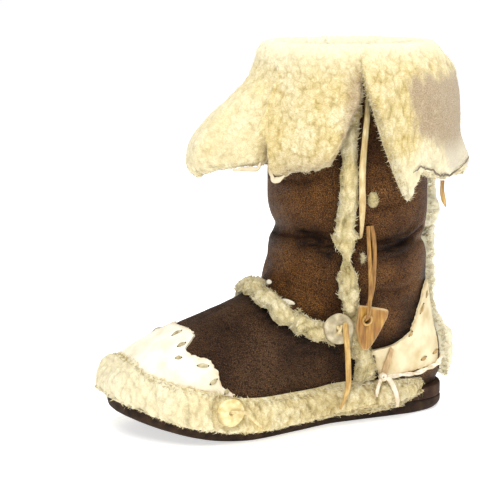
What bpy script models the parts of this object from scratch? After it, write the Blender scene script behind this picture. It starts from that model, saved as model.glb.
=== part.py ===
"""A left sheepskin boot, as an assembly of the pieces that a maker cuts and joins.

Metres, +Z up. The toe points along -X, the outer (lateral) side is -Y, and the floor is z = 0.
The shapes are worked out in a last's own terms: s runs forward from the back of the heel
to the toe, y runs from the outer side to the inner side, z runs up from the floor.
"""

import math

import bmesh
import bpy
import numpy as np

MM = 0.001
GAP = 0.3 * MM  # between pieces that touch

# ---- driving sizes ----
SOLE_LENGTH = 300 * MM
SOLE_THICKNESS = 11 * MM
TOE_SPRING = 23 * MM
BALL_LINE = 196 * MM  # where the sole leaves the floor towards the toe
WALL = 5 * MM  # sheepskin: 1.8 mm of leather and its clipped, trodden wool
LEATHER = 2.0 * MM  # overlays of rawhide-white leather


def clear_scene():
    for obj in list(bpy.data.objects):
        bpy.data.objects.remove(obj)


def table(columns, rows):
    """{column: array} of a table written a row at a time: *_deg in degrees, *_ring as ring shares,
    and all other columns in millimetres."""
    found = {}
    for i, name in enumerate(columns.split()):
        values = np.array([row[i] for row in rows], float)
        if name.endswith("_deg"):
            found[name] = np.radians(values)
        elif name.endswith("_ring"):
            found[name] = values
        else:
            found[name] = values * MM
    return found


def smooth(knots, values, x):
    """A cubic through the knots that never overshoots a row."""
    knots, values = np.asarray(knots, float), np.asarray(values, float)
    x = np.clip(np.asarray(x, float), knots[0], knots[-1])
    steps = np.diff(knots)
    slopes = np.diff(values) / steps
    inner = np.where(
        slopes[:-1] * slopes[1:] > 0,
        2 * slopes[:-1] * slopes[1:] / np.where(slopes[:-1] + slopes[1:] == 0, 1, slopes[:-1] + slopes[1:]),
        0,
    )
    tangents = np.concatenate([slopes[:1], inner, slopes[-1:]])
    i = np.clip(np.searchsorted(knots, x, side="right") - 1, 0, len(steps) - 1)
    u = (x - knots[i]) / steps[i]
    return (
        values[i] * (1 + 2 * u) * (1 - u) ** 2
        + tangents[i] * steps[i] * u * (1 - u) ** 2
        + values[i + 1] * u * u * (3 - 2 * u)
        + tangents[i + 1] * steps[i] * u * u * (u - 1)
    )


def ramp(x, start, end):
    """0 before start, 1 after end, smooth between."""
    u = np.clip((np.asarray(x, float) - start) / (end - start), 0, 1)
    return u * u * (3 - 2 * u)


# ---- plan of the last ----
PLAN = table(
    "s lateral medial swing",
    [
        (0, 38, 36, 0),
        (60, 39, 37, 0),
        (112, 39, 35, 0),
        (160, 48, 40, -1),
        (200, 56, 49, -1),
        (240, 57, 53, 0),
        (300, 53, 53, 6),
    ],
)
TOE_ROUND = 80 * MM  # length of the rounded toe
HEEL_ROUND = 38 * MM  # and of the rounded heel
TOE_SQUARE, HEEL_SQUARE = 2.1, 2.2  # powers of their outlines: 2 is an ellipse


def plan_half(s, toe_end):
    """(half width, middle line) of the last's plan at s."""
    lateral = smooth(PLAN["s"], PLAN["lateral"], s)
    medial = smooth(PLAN["s"], PLAN["medial"], s)
    toe = np.clip((s - (toe_end - TOE_ROUND)) / TOE_ROUND, 0, 1)
    heel = np.clip((HEEL_ROUND - s) / HEEL_ROUND, 0, 1)
    ends = (1 - toe**TOE_SQUARE) ** (1 / TOE_SQUARE) * (1 - heel**HEEL_SQUARE) ** (1 / HEEL_SQUARE)
    middle = (medial - lateral) / 2 + smooth(PLAN["s"], PLAN["swing"], s)
    return (medial + lateral) / 2 * ends, middle


SPRING_POWER = 1.9  # how late the toe spring rises


def floor_rise(s):
    """Height of the outsole's underside: flat to the ball, then the toe spring."""
    beyond = np.clip((s - BALL_LINE) / (SOLE_LENGTH - BALL_LINE), 0, 1)
    return TOE_SPRING * beyond**SPRING_POWER


WEDGE = table("s thick", [(0, 10.5), (40, 10), (80, 7.5), (120, 3.5), (152, 0.8), (300, 0.8)])
WEDGE_END = 150 * MM
WEDGE_FADE = 20 * MM


def sole_top(s):
    """Height of the surface that the upper stands on: outsole, and wedge towards the heel."""
    wedge = smooth(WEDGE["s"], WEDGE["thick"], s) * (1 - ramp(s, WEDGE_END - WEDGE_FADE, WEDGE_END))
    return floor_rise(s) + SOLE_THICKNESS + wedge


# ---- the upper: rings from the sole's edge up to the collar ----
RINGS = table(
    "front_s front_z back_s back_z half_width",
    [
        (298, 37, 3, 22, 37),
        (297, 45, 0, 31, 40),
        (293, 54, 0, 41, 42),
        (285, 62, 1, 51, 43),
        (270, 73, 3, 61, 44),
        (248, 84.5, 7, 71, 46),
        (222, 94.5, 11, 80, 49),
        (197, 103.5, 14, 89, 52),
        (178, 111.5, 17, 99, 55),
        (164, 120, 19, 110, 58),
        (156, 130, 20, 121, 60),
        (154, 143, 20, 134, 61),
        (151, 155, 22, 145, 60),
        (147, 163, 25, 151, 57),
        (151, 172, 22, 159, 60),
        (154, 188, 20, 178, 62),
        (154, 210, 20, 202, 62),
        (152, 238, 21, 234, 61),
        (150, 270, 22, 268, 60),
        (150, 298, 23, 298, 59),
    ],
)
RING_T = np.linspace(0, 1, len(RINGS["front_s"]))
SHAFT_FRONT = 154 * MM
UPPER_TOE = 298.6 * MM
WIDEST_UP = 34 * MM  # height over the sole at which the foot is widest
BULGE = 0.04  # share by which the foot's sides swell over the sole
BULGE_FROM, BULGE_SPAN = 12 * MM, 40 * MM
FOOT_FROM, FOOT_FULL = 15 * MM, 70 * MM  # the heel's width is the shaft's, and the foot's from here on
FOOT_SQUARE, SHAFT_SQUARE = 2.2, 2.2  # powers of the sections: 2 is an ellipse
BLEND_POWER = 5  # how sharply foot and shaft meet
SWING_END, SWING_GONE = 80 * MM, 130 * MM  # heights between which the last's swing fades out


def ring_value(column, t):
    return smooth(RING_T, RINGS[column], t)


_dense_t = np.linspace(0, 0.6, 400)
_ridge = (ring_value("front_s", _dense_t), ring_value("front_z", _dense_t))


def ridge_height(s):
    """Height of the instep's ridge over s."""
    return np.interp(s, _ridge[0][::-1], _ridge[1][::-1])


SAG_ENDS = 0.42  # ring share by which the rings no longer dip towards the sole


def ring_sag(share):
    """How far the lowest ring dips below a straight line from heel to toe to lie on the sole."""
    first = {name: column[0] for name, column in RINGS.items()}
    s = first["back_s"] + (first["front_s"] - first["back_s"]) * share
    straight = first["back_z"] + (first["front_z"] - first["back_z"]) * share
    return straight - sole_top(s) - GAP


def upper_surface(t, a):
    """Outer surface of the upper, at ring t (0 sole edge, 1 collar) and angle a
    (0 toe, a quarter turn outer side, half heel, three quarters inner side)."""
    t, a = np.broadcast_arrays(np.asarray(t, float), np.asarray(a, float))
    share = (1 + np.cos(a)) / 2
    front_s, front_z = ring_value("front_s", t), ring_value("front_z", t)
    back_s, back_z = ring_value("back_s", t), ring_value("back_z", t)
    s = back_s + (front_s - back_s) * share
    z = back_z + (front_z - back_z) * share
    z = z - ring_sag(share) * (1 - ramp(t, 0, SAG_ENDS))
    half, middle = plan_half(np.clip(s, 0, None), UPPER_TOE)
    widest = floor_rise(s) + WIDEST_UP
    top = np.maximum(ridge_height(s), widest + 1e-5)
    rise = np.clip((z - widest) / (top - widest), 0, 1)
    swelling = np.clip((z - floor_rise(s) - BULGE_FROM) / BULGE_SPAN, 0, 1)
    bulge = 1 + BULGE * np.sin(swelling * math.pi)
    foot = half * bulge * np.sqrt(1 - rise**FOOT_SQUARE) * ramp(s, FOOT_FROM, FOOT_FULL)
    shaft_front = np.minimum(front_s, SHAFT_FRONT)
    centre, reach = (shaft_front + back_s) / 2, (shaft_front - back_s) / 2
    across = np.clip(np.abs((s - centre) / reach), 0, 1)
    shaft = ring_value("half_width", t) * (1 - across**SHAFT_SQUARE) ** (1 / SHAFT_SQUARE)
    width = (foot**BLEND_POWER + shaft**BLEND_POWER) ** (1 / BLEND_POWER)
    side = -np.sign(np.sin(a)) * width
    y = middle * (1 - ramp(z, SWING_END, SWING_GONE)) + side
    return np.stack([s, y, z], -1)


def upper_slopes(t, a):
    """How the outer surface moves with the ring share and with the angle."""
    ring_step, angle_step = 1e-3, 0.02
    low, high = np.clip(t - ring_step, 0, 1), np.clip(t + ring_step, 0, 1)
    along = (upper_surface(high, a) - upper_surface(low, a)) / np.asarray(high - low)[..., None]
    around = (upper_surface(t, a + angle_step) - upper_surface(t, a - angle_step)) / (2 * angle_step)
    return along, around


def upper_normal(t, a):
    """Unit outward normal of the upper."""
    normal = np.cross(*upper_slopes(t, a))
    return normal / np.linalg.norm(normal, axis=-1, keepdims=True)


def upper_point(t, a, offset):
    """A point off the upper's outer surface, outward by offset."""
    return upper_surface(t, a) + upper_normal(t, a) * np.asarray(offset, float)[..., None]


# ---- meshes ----
def to_world(points):
    """(s, y, z) to the boot's frame: the toe along -X."""
    points = np.asarray(points, float)
    return np.stack([SOLE_LENGTH / 2 - points[..., 0], points[..., 1], points[..., 2]], -1)


def material(name, colour, roughness):
    """A Principled BSDF material; colour is linear red, green and blue."""
    made = bpy.data.materials.new(name)
    made.use_nodes = True
    shader = made.node_tree.nodes["Principled BSDF"]
    shader.inputs["Base Color"].default_value = (*colour, 1)
    shader.inputs["Roughness"].default_value = roughness
    shader.inputs["Metallic"].default_value = 0
    return made


def add_solid(name, points, faces, finish, sharp=50):
    """A mesh object of one closed body, its faces pointing out."""
    mesh = bpy.data.meshes.new(name)
    mesh.from_pydata(to_world(points).reshape(-1, 3).tolist(), [], faces)
    work = bmesh.new()
    work.from_mesh(mesh)
    bmesh.ops.recalc_face_normals(work, faces=work.faces)
    bmesh.ops.triangulate(work, faces=work.faces)
    work.to_mesh(mesh)
    work.free()
    mesh.shade_smooth()
    mesh.set_sharp_from_angle(angle=math.radians(sharp))
    mesh.materials.append(material(name, *finish))
    made = bpy.data.objects.new(name, mesh)
    bpy.context.scene.collection.objects.link(made)
    return made


def add_sheet(name, outer, inner, finish, wrap=False):
    """A closed sheet between two grids of the same rows and columns; wrap joins the last column
    to the first."""
    rows, columns = outer.shape[:2]
    spans = columns if wrap else columns - 1

    def at(layer, row, column):
        return (layer * rows + row) * columns + column % columns

    faces = []
    for layer in (0, 1):
        for row in range(rows - 1):
            for column in range(spans):
                corners = [(row, column), (row, column + 1), (row + 1, column + 1), (row + 1, column)]
                faces.append([at(layer, *corner) for corner in corners])
    for row in (0, rows - 1):
        for column in range(spans):
            faces.append([at(0, row, column), at(0, row, column + 1), at(1, row, column + 1), at(1, row, column)])
    for column in () if wrap else (0, columns - 1):
        for row in range(rows - 1):
            faces.append([at(0, row, column), at(0, row + 1, column), at(1, row + 1, column), at(1, row, column)])
    return add_solid(name, np.concatenate([outer.reshape(-1, 3), inner.reshape(-1, 3)]), faces, finish)


def add_slab(name, loops, finish):
    """A closed solid lofted through outlines from the lowest to the highest. Each outline starts at
    the toe and passes the heel half way round, and the two ends are closed with strips across."""
    levels, count = len(loops), len(loops[0])
    half = count // 2
    faces = []
    for level in range(levels - 1):
        for i in range(count):
            j = (i + 1) % count
            faces.append([level * count + i, level * count + j, (level + 1) * count + j, (level + 1) * count + i])
    for level in (0, levels - 1):
        first = level * count
        faces.append([first, first + 1, first + count - 1])
        faces.append([first + half, first + half - 1, first + half + 1])
        for i in range(1, half - 1):
            faces.append([first + i, first + i + 1, first + count - i - 1, first + count - i])
    return add_solid(name, np.concatenate(loops), faces, finish, sharp=35)


def add_turned(name, centre, axis, upright, profile, oval, finish, sides=16):
    """A ring turned round an axis: profile is (radius, height) in order round its closed section;
    oval is the share by which it is narrower across its upright direction."""
    axis = np.array(axis, float) / np.linalg.norm(axis)
    across = np.cross(upright, axis)
    across /= np.linalg.norm(across)
    upright = np.cross(axis, across)
    angles = np.linspace(0, 2 * math.pi, sides, endpoint=False)
    rows = []
    for radius, height in profile:
        ring = np.cos(angles)[:, None] * across * (1 - oval) + np.sin(angles)[:, None] * upright
        rows.append(np.array(centre) + radius * ring + height * axis)
    count = len(profile)
    faces = []
    for row in range(count):
        for i in range(sides):
            j, following = (i + 1) % sides, (row + 1) % count
            faces.append([row * sides + i, row * sides + j, following * sides + j, following * sides + i])
    return add_solid(name, np.concatenate(rows), faces, finish)


# ---- cords and thongs ----
def route_curve(points, step):
    """Evenly spaced points of a smooth curve through the route's own points."""
    points = np.array(points, float)
    ends = np.concatenate([[2 * points[0] - points[1]], points, [2 * points[-1] - points[-2]]])
    fine = []
    for before, start, end, after in zip(ends, ends[1:], ends[2:], ends[3:]):
        u = np.linspace(0, 1, 24, endpoint=False)[:, None]
        slope_in, slope_out = (end - before) / 2, (after - start) / 2
        fine.append(
            start * (1 + 2 * u) * (1 - u) ** 2
            + slope_in * u * (1 - u) ** 2
            + end * u * u * (3 - 2 * u)
            + slope_out * u * u * (u - 1)
        )
    fine = np.concatenate(fine + [points[-1:]])
    run = np.concatenate([[0], np.cumsum(np.linalg.norm(np.diff(fine, axis=0), axis=1))])
    count = max(3, round(run[-1] / step) + 1)
    even = np.linspace(0, run[-1], count)
    return np.stack([np.interp(even, run, fine[:, k]) for k in range(3)], -1)


def add_thong(name, route, diameter, finish):
    """A round thong along a route given in millimetres as (s, y, z)."""
    points = to_world(route_curve(np.array(route, float) * MM, 3 * diameter))
    curve = bpy.data.curves.new(name, "CURVE")
    curve.dimensions = "3D"
    curve.bevel_depth = diameter / 2
    curve.bevel_resolution = 2
    curve.use_fill_caps = True
    spline = curve.splines.new("POLY")
    spline.points.add(len(points) - 1)
    for point, place in zip(spline.points, points):
        point.co = (*place, 1)
        point.radius = 1
    curve.materials.append(material(name, *finish))
    made = bpy.data.objects.new(name, curve)
    bpy.context.scene.collection.objects.link(made)
    return made


# ---- finishes ----
BROWN_LEATHER = ((0.060, 0.034, 0.020), 0.6)
SHEARLING = ((0.80, 0.72, 0.50), 0.95)
RAWHIDE = ((0.90, 0.84, 0.68), 0.6)
CUT_WOOL = ((0.74, 0.66, 0.46), 0.95)
SOLE_RUBBER = ((0.028, 0.016, 0.011), 0.7)
WEDGE_RUBBER = ((0.060, 0.034, 0.026), 0.7)
THONG_HIDE = ((0.68, 0.48, 0.22), 0.65)
HORN = ((0.42, 0.21, 0.07), 0.5)
BONE = ((0.72, 0.62, 0.34), 0.5)


# ---- sole ----
SOLE_EDGE = table(  # side of the outsole, from the floor up
    "height inset",
    [(0, 3.2), (1.2, 1.2), (3.2, 0.4), (6, 0), (9.6, 0), (11, 0.6)],
)
HEEL_BEVEL = 2.0  # how much further the heel's lower edge is rounded
WEDGE_FRONT = 138 * MM
WEDGE_EDGE = table("share_ring inset", [(0, 0.6), (0.15, 0), (0.85, 0), (1, 0.5)])
INSOLE_THICKNESS = 4.5 * MM
INSOLE_CLEARANCE = 2.2 * MM  # from the upper's inner face
AROUND = 44  # points round an outline


def sole_outline(angles, inset):
    """(s, y) of the sole's outline at the angles, moved inward by inset, and its outward direction."""

    def point(angle):
        s = SOLE_LENGTH * (1 + np.cos(angle)) / 2
        half, middle = plan_half(s, SOLE_LENGTH)
        return np.stack([s, middle - np.sign(np.sin(angle)) * half], -1)

    step = 0.01
    direction = point(angles + step) - point(angles - step)
    outward = np.stack([-direction[..., 1], direction[..., 0]], -1)
    outward /= np.linalg.norm(outward, axis=-1, keepdims=True)
    return point(angles) - outward * inset, outward


def raised(outline, heights):
    """An outline in plan with its height added."""
    return np.concatenate([outline, np.asarray(heights)[..., None]], -1)


def make_outsole():
    angles = np.linspace(0, 2 * math.pi, AROUND, endpoint=False)
    loops = []
    bevel = 1 + HEEL_BEVEL * (1 - ramp((1 + np.cos(angles)) / 2, 0.02, 0.16))
    for height, inset in zip(SOLE_EDGE["height"], SOLE_EDGE["inset"]):
        outline, _ = sole_outline(angles, (inset * bevel)[:, None])
        loops.append(raised(outline, floor_rise(outline[:, 0]) + height))
    add_slab("outsole", loops, SOLE_RUBBER)


def make_heel_wedge():
    front = math.acos(2 * WEDGE_FRONT / SOLE_LENGTH - 1)
    angles = np.linspace(front, 2 * math.pi - front, AROUND - 9)
    loops = []
    for share, inset in zip(WEDGE_EDGE["share_ring"], WEDGE_EDGE["inset"]):
        outline, _ = sole_outline(angles, inset)
        outline = np.concatenate([[(outline[0] + outline[-1]) / 2], outline])
        low = floor_rise(outline[:, 0]) + SOLE_THICKNESS + GAP
        loops.append(raised(outline, low + (sole_top(outline[:, 0]) - low) * share))
    add_slab("heel_wedge", loops, WEDGE_RUBBER)


def make_insole():
    angles = np.linspace(0, 2 * math.pi, AROUND - 8, endpoint=False)
    outline = upper_point(0.02, angles, -WALL - INSOLE_CLEARANCE)[:, :2]
    low = sole_top(outline[:, 0]) + GAP
    add_slab("insole", [raised(outline, low), raised(outline, low + INSOLE_THICKNESS)], SHEARLING)


# ---- upper and its leather overlays ----
UPPER_COLUMNS = 36
OVERLAY_GAP = 0.5 * MM  # clears the flats between the upper's points
COUNTER_GAP = 0.8 * MM  # these clear the rounder places
STRIP_GAP = 0.8 * MM
BACK_GAP = 1.0 * MM
BAND_GAP = 1.4 * MM
CAP_EDGE = table(  # scalloped back edge of the toe cap
    "angle_deg edge_ring",
    [
        (0, 0.280),
        (10, 0.280),
        (19, 0.272),
        (24, 0.235),
        (31, 0.227),
        (38, 0.225),
        (43, 0.214),
        (48, 0.195),
        (53, 0.160),
        (59, 0.140),
    ],
)
CAP_SIDE = math.radians(59)
CAP_ABOVE_RAND = 0.004  # ring share that parts the cap's foot from the rand
RAND_TOP = table(  # upper edge of the wool rand
    "angle_deg top_ring",
    [
        (0, 0.170),
        (8, 0.160),
        (30, 0.148),
        (50, 0.142),
        (62, 0.127),
        (86, 0.120),
        (104, 0.118),
        (118, 0.086),
        (140, 0.056),
    ],
)
COUNTER = table(  # front and rear edges of the heel counter, from its foot up
    "at_ring front_deg rear_deg",
    [
        (0.120, 120, 153),
        (0.140, 118, 155),
        (0.167, 116, 156),
        (0.195, 114, 156),
        (0.217, 112, 156),
        (0.229, 119, 156),
        (0.250, 124, 156),
        (0.283, 129, 156),
        (0.330, 130, 155),
        (0.380, 131, 154),
        (0.420, 134, 153),
        (0.462, 136, 151),
        (0.500, 142, 149),
    ],
)


def rand_top(angles):
    return smooth(RAND_TOP["angle_deg"], RAND_TOP["top_ring"], np.abs(angles))


def add_overlay(name, rings, angles, finish, lift=OVERLAY_GAP):
    """A leather patch over the upper at a grid of rings and angles."""
    outer = upper_point(rings, angles, lift + LEATHER)
    inner = upper_point(rings, angles, lift)
    add_sheet(name, outer, inner, finish)


def make_upper():
    instep = np.linspace(RING_T[6], RING_T[11], 9)
    rings = np.concatenate([RING_T[:6], instep, RING_T[12:]])[:, None]
    angles = np.linspace(0, 2 * math.pi, UPPER_COLUMNS, endpoint=False)[None]
    outer = upper_surface(rings, angles)
    inner = upper_point(rings, angles, -WALL)
    inner[0, :, 2] = sole_top(inner[0, :, 0]) + GAP
    inner[-1, :, 2] = outer[-1, :, 2]
    add_sheet("upper", outer, inner, BROWN_LEATHER, wrap=True)


def make_toe_cap():
    angles = np.linspace(-CAP_SIDE, CAP_SIDE, 25)[None]
    low = rand_top(angles) + CAP_ABOVE_RAND
    high = smooth(CAP_EDGE["angle_deg"], CAP_EDGE["edge_ring"], np.abs(angles))
    share = np.linspace(0, 1, 5)[:, None]
    add_overlay("toe_cap", low + (high - low) * share, angles + 0 * share, RAWHIDE)


def make_counters():
    share = np.linspace(0, 1, 6)[None]
    front, rear = COUNTER["front_deg"][:, None], COUNTER["rear_deg"][:, None]
    angles = front + (rear - front) * share
    rings = COUNTER["at_ring"][:, None] + 0 * share
    add_overlay("counter_outer", rings, angles, RAWHIDE, lift=COUNTER_GAP)
    add_overlay("counter_inner", rings, -angles, RAWHIDE, lift=COUNTER_GAP)


# ---- wool bands ----
def lumps(along, across, pitch):
    """Between -1 and 1: rounded locks of wool about a pitch apart."""
    turn = 2 * math.pi / pitch
    return np.sin(along * turn) * np.cos(across * turn + 0.5 * np.sin(along * turn / 2.3))


def lock_ends(columns):
    """Between -1 and 1 at each column: ends of locks, long and short by turns, no two pairs alike."""
    column = np.arange(columns)
    return (-1.0) ** column * (0.6 + 0.4 * np.sin(column * 1.7))


def beside(t, a, direction, distance):
    """(t, a) of the upper's points at a distance from (t, a) in a direction along the surface."""
    along, around = upper_slopes(t, a)
    shift = direction * distance[..., None]
    aa, bb, ab = (along * along).sum(-1), (around * around).sum(-1), (along * around).sum(-1)
    sa, sb = (shift * along).sum(-1), (shift * around).sum(-1)
    scale = aa * bb - ab * ab
    return t + (sa * bb - sb * ab) / scale, a + (sb * aa - sa * ab) / scale


EDGE_WAVER, EDGE_PITCH = 0.08, 17 * MM  # how far, and how often, a strip's cut edge wavers
EDGE_HEIGHT = 0.2  # share of its wool's height at a strip's edge
LUMP_DEPTH, LUMP_PITCH = 0.10, 13 * MM


def add_wool_band(name, rings, angles, widths, heights, finish, across=6, lift=OVERLAY_GAP):
    """A domed strip of standing wool along a path of rings and angles on the upper."""
    path = upper_surface(rings, angles)
    run = np.concatenate([[0], np.cumsum(np.linalg.norm(np.diff(path, axis=0), axis=1))])
    heading = np.gradient(path, axis=0)
    sideways = np.cross(heading, upper_normal(rings, angles))
    sideways /= np.linalg.norm(sideways, axis=1, keepdims=True)
    share = np.linspace(-1, 1, across)[None]
    waver = 1 + EDGE_WAVER * np.sin(run * 2 * math.pi / EDGE_PITCH)
    distance = share * (widths / 2 * waver)[:, None]
    grid_t, grid_a = beside(rings[:, None], angles[:, None], sideways[:, None], distance)
    grid_t = np.clip(grid_t, 0, 1)
    crown = EDGE_HEIGHT + (1 - EDGE_HEIGHT) * np.sqrt(np.clip(1 - share**2, 0, 1))
    stand = heights[:, None] * crown * (1 + LUMP_DEPTH * lumps(run[:, None], distance, LUMP_PITCH))
    outer = upper_point(grid_t, grid_a, lift + stand)
    inner = upper_point(grid_t, grid_a, lift)
    add_sheet(name, outer, inner, finish)


BAND = table(  # instep band, from the ridge to either button
    "angle_deg at_ring",
    [(0, 0.432), (8, 0.430), (30, 0.403), (57, 0.347), (76, 0.315), (90, 0.288)],
)
BAND_WIDTH = 15 * MM
BAND_HEIGHT = 8 * MM
SIDE_STRIP = table(
    "at_ring angle_deg width height",
    [
        (0.893, 64, 13, 6.5),
        (0.825, 64, 14, 7.5),
        (0.760, 62, 15, 7.5),
        (0.690, 61, 15, 7),
        (0.640, 62, 12, 5),
        (0.593, 63, 8, 4),
        (0.560, 64, 12, 6),
        (0.518, 67, 15, 7),
        (0.470, 73, 15, 7),
        (0.427, 79, 14, 7),
        (0.370, 88, 13, 6),
        (0.318, 96, 13, 6),
        (0.270, 101, 13, 6.5),
        (0.222, 105, 13, 7),
        (0.170, 107, 13, 7.5),
        (0.140, 108, 13, 6.5),
    ],
)
BACK_STRIP = table(
    "at_ring width height",
    [
        (0.030, 30, 11),
        (0.080, 38, 14.5),
        (0.125, 42, 15.5),
        (0.170, 42, 15.5),
        (0.225, 38, 13.5),
        (0.280, 32, 11),
        (0.350, 32, 10),
        (0.420, 32, 12),
        (0.500, 34, 14),
        (0.600, 34, 16),
        (0.680, 34, 17.5),
        (0.760, 36, 18),
        (0.820, 36, 17),
        (0.865, 34, 13),
    ],
)
RAND_REACH = math.radians(140)  # angle either side of the toe at which the rand ends
RAND_COLUMNS = 46
RAND_HANG = table(  # its lower edge above the outsole's underside
    "angle_deg height",
    [(0, 16), (25, 12.5), (50, 9.5), (80, 9), (112, 9.2), (124, 10.4), (133, 14.4), (140, 19.4)],
)
RAND_GAP = 1.1 * MM  # it bridges the waist, so it stands a little clear
RAND_TOE = 0.72  # share of its fullness at the toe
RAND_STAND = (5, 10, 12.5, 13.5, 12.5, 9.5, 4)  # mm of wool from the lower edge to the upper
RAND_LOCK, RAND_LEVEL, RAND_PITCH = 12 * MM, 8 * MM, 33 * MM  # sizes of its locks
RAND_STEP = 1 * MM  # least rise from its lower edge to the sole's upper edge
RAND_END, RAND_TAPER = 0.45, 0.3  # fullness at its two ends, and what each column adds
TOE_FROM, TOE_TO = 0.1, 0.9  # angles between which it grows full
RAND_ON_UPPER = (0.15, 0.36, 0.58, 0.8, 1.0)  # share of the rand's height of the rows on the upper


def make_instep_band():
    angles = np.radians(np.linspace(-90, 90, 27))
    rings = smooth(BAND["angle_deg"], BAND["at_ring"], np.abs(angles))
    width, height = np.full_like(angles, BAND_WIDTH), np.full_like(angles, BAND_HEIGHT)
    height[[0, -1]] *= 0.5
    add_wool_band("instep_band", rings, angles, width, height, CUT_WOOL, across=5, lift=BAND_GAP)


def make_side_strip():
    values = [SIDE_STRIP[name] for name in ("at_ring", "angle_deg", "width", "height")]
    add_wool_band("side_strip", *values, CUT_WOOL, across=5, lift=STRIP_GAP)


def make_back_strip():
    rings = BACK_STRIP["at_ring"]
    angles = np.full_like(rings, math.pi)
    add_wool_band("back_strip", rings, angles, BACK_STRIP["width"], BACK_STRIP["height"], SHEARLING, lift=BACK_GAP)


def make_rand():
    angles = np.linspace(-RAND_REACH, RAND_REACH, RAND_COLUMNS)
    edge, outward = sole_outline(angles, 0)
    overhang = ((upper_surface(0, angles)[:, :2] - edge) * outward).sum(-1)
    edge = edge + outward * (np.maximum(overhang, 0) + RAND_GAP)[:, None]
    flat = np.concatenate([outward, np.zeros((len(angles), 1))], -1)
    hang = smooth(RAND_HANG["angle_deg"], RAND_HANG["height"], np.abs(angles))
    foot = raised(edge, floor_rise(edge[:, 0]) + hang)
    step = raised(edge, np.maximum(sole_top(edge[:, 0]), foot[:, 2] + RAND_STEP) + GAP)
    rings = rand_top(angles) * np.array(RAND_ON_UPPER)[:, None]
    grid = angles + 0 * rings
    inner = np.concatenate([[foot, step], upper_point(rings, grid, RAND_GAP)])
    direction = np.concatenate([[flat, flat], upper_normal(rings, grid)])
    column = np.arange(RAND_COLUMNS)
    level = np.arange(len(RAND_STAND))[:, None] * RAND_LEVEL
    locks = 1 + LUMP_DEPTH * lumps(column * RAND_LOCK, level, RAND_PITCH)
    stand = np.array(RAND_STAND)[:, None] * MM * locks
    ends = np.minimum(1, RAND_END + RAND_TAPER * np.minimum(column, column[::-1]))
    toe = RAND_TOE + (1 - RAND_TOE) * ramp(np.abs(angles), TOE_FROM, TOE_TO)
    outer = inner + direction * (stand * ends * toe)[..., None]
    add_sheet("fur_rand", outer, inner, SHEARLING)


# ---- cuffs folded down over the collar ----
CUFF_THICKNESS = 13 * MM
CUFF_GAP = 0.8 * MM
CUFF_FOLD = table(  # section of the fold: across from the collar's outer edge and up from its rim
    "inside_across inside_up outside_across outside_up",
    [
        (-4.6, 0.3, -7.5, 2.5),
        (-3.2, 0.3, -7.5, 12),
        (-1.4, 0.3, -2, 18.5),
        (0.4, 0.3, 6.5, 18.5),
        (0.8, -0.6, 13, 11),
    ],
)
CUFF_DROP = (0.06, 0.22, 0.40, 0.58, 0.76, 0.90, 1.0)  # shares of the way down from the rim to the hem
CUFF_FULLNESS = (1, 1, 1, 1, 1, 0.85, 0.4)  # share of the thickness at those places
FLARE_FRONT = table(
    "down_ring out_ring",
    [(0, 0), (0.18, 0.05), (0.36, 0.20), (0.55, 0.57), (0.70, 0.85), (0.86, 1), (1, 0.99)],
)
FLARE_BACK = table("down_ring out_ring", [(0, 0), (0.12, 0.25), (0.30, 0.82), (0.50, 1), (1, 1)])
CUFF_FRONT = table(  # from the slit on the outer side, round the front
    "top_deg hem_deg hem flare",
    [
        (69.5, 62, 252, 9),
        (62, 57, 236, 9.5),
        (54, 52, 222, 10),
        (42, 42, 217, 12),
        (30, 31, 215, 14),
        (20, 22, 210, 17),
        (12, 14, 220, 24),
        (4, 6, 217, 44),
        (-4, -2, 211, 60),
        (-14, -12, 206, 59),
        (-24, -22, 205, 55),
        (-36, -34, 207, 50),
        (-52, -50, 212, 38),
        (-68, -68, 204, 22),
        (-84, -84, 196, 12),
        (-95, -93, 204, 8),
    ],
)
CUFF_BACK = table(  # from the slit on the outer side, round the back
    "top_deg hem_deg hem flare",
    [
        (71.2, 97, 196, 14),
        (82, 101, 192, 14),
        (90, 105, 202, 14),
        (98, 108, 212, 14),
        (108, 114, 210, 14),
        (122, 126, 206, 13),
        (138, 140, 205, 12),
        (152, 154, 208, 13),
        (164, 166, 216, 17),
        (178, 180, 208, 22),
        (194, 194, 205, 22),
        (212, 212, 204, 18),
        (230, 230, 208, 16),
        (248, 248, 206, 12),
        (263, 264, 200, 8),
    ],
)
LOCK_LENGTH = 2.5 * MM  # by which the hem's locks hang past each other
LOCK_DEPTH = 0.17  # share of the wool's depth by which locks stand out
LOCK_PITCH = 44 * MM  # from one lock to the next down the flap
SLIT_SWEEP = 1.5  # the side edges swing away from the slit late, as a power of the drop
COLLAR = RINGS["front_z"][-1]
ROLL_TOP = COLLAR + 19 * MM


def ring_at(z):
    """Ring share of the shaft at a height."""
    return np.interp(z, (RINGS["front_z"] + RINGS["back_z"]) / 2, RING_T)


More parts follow.
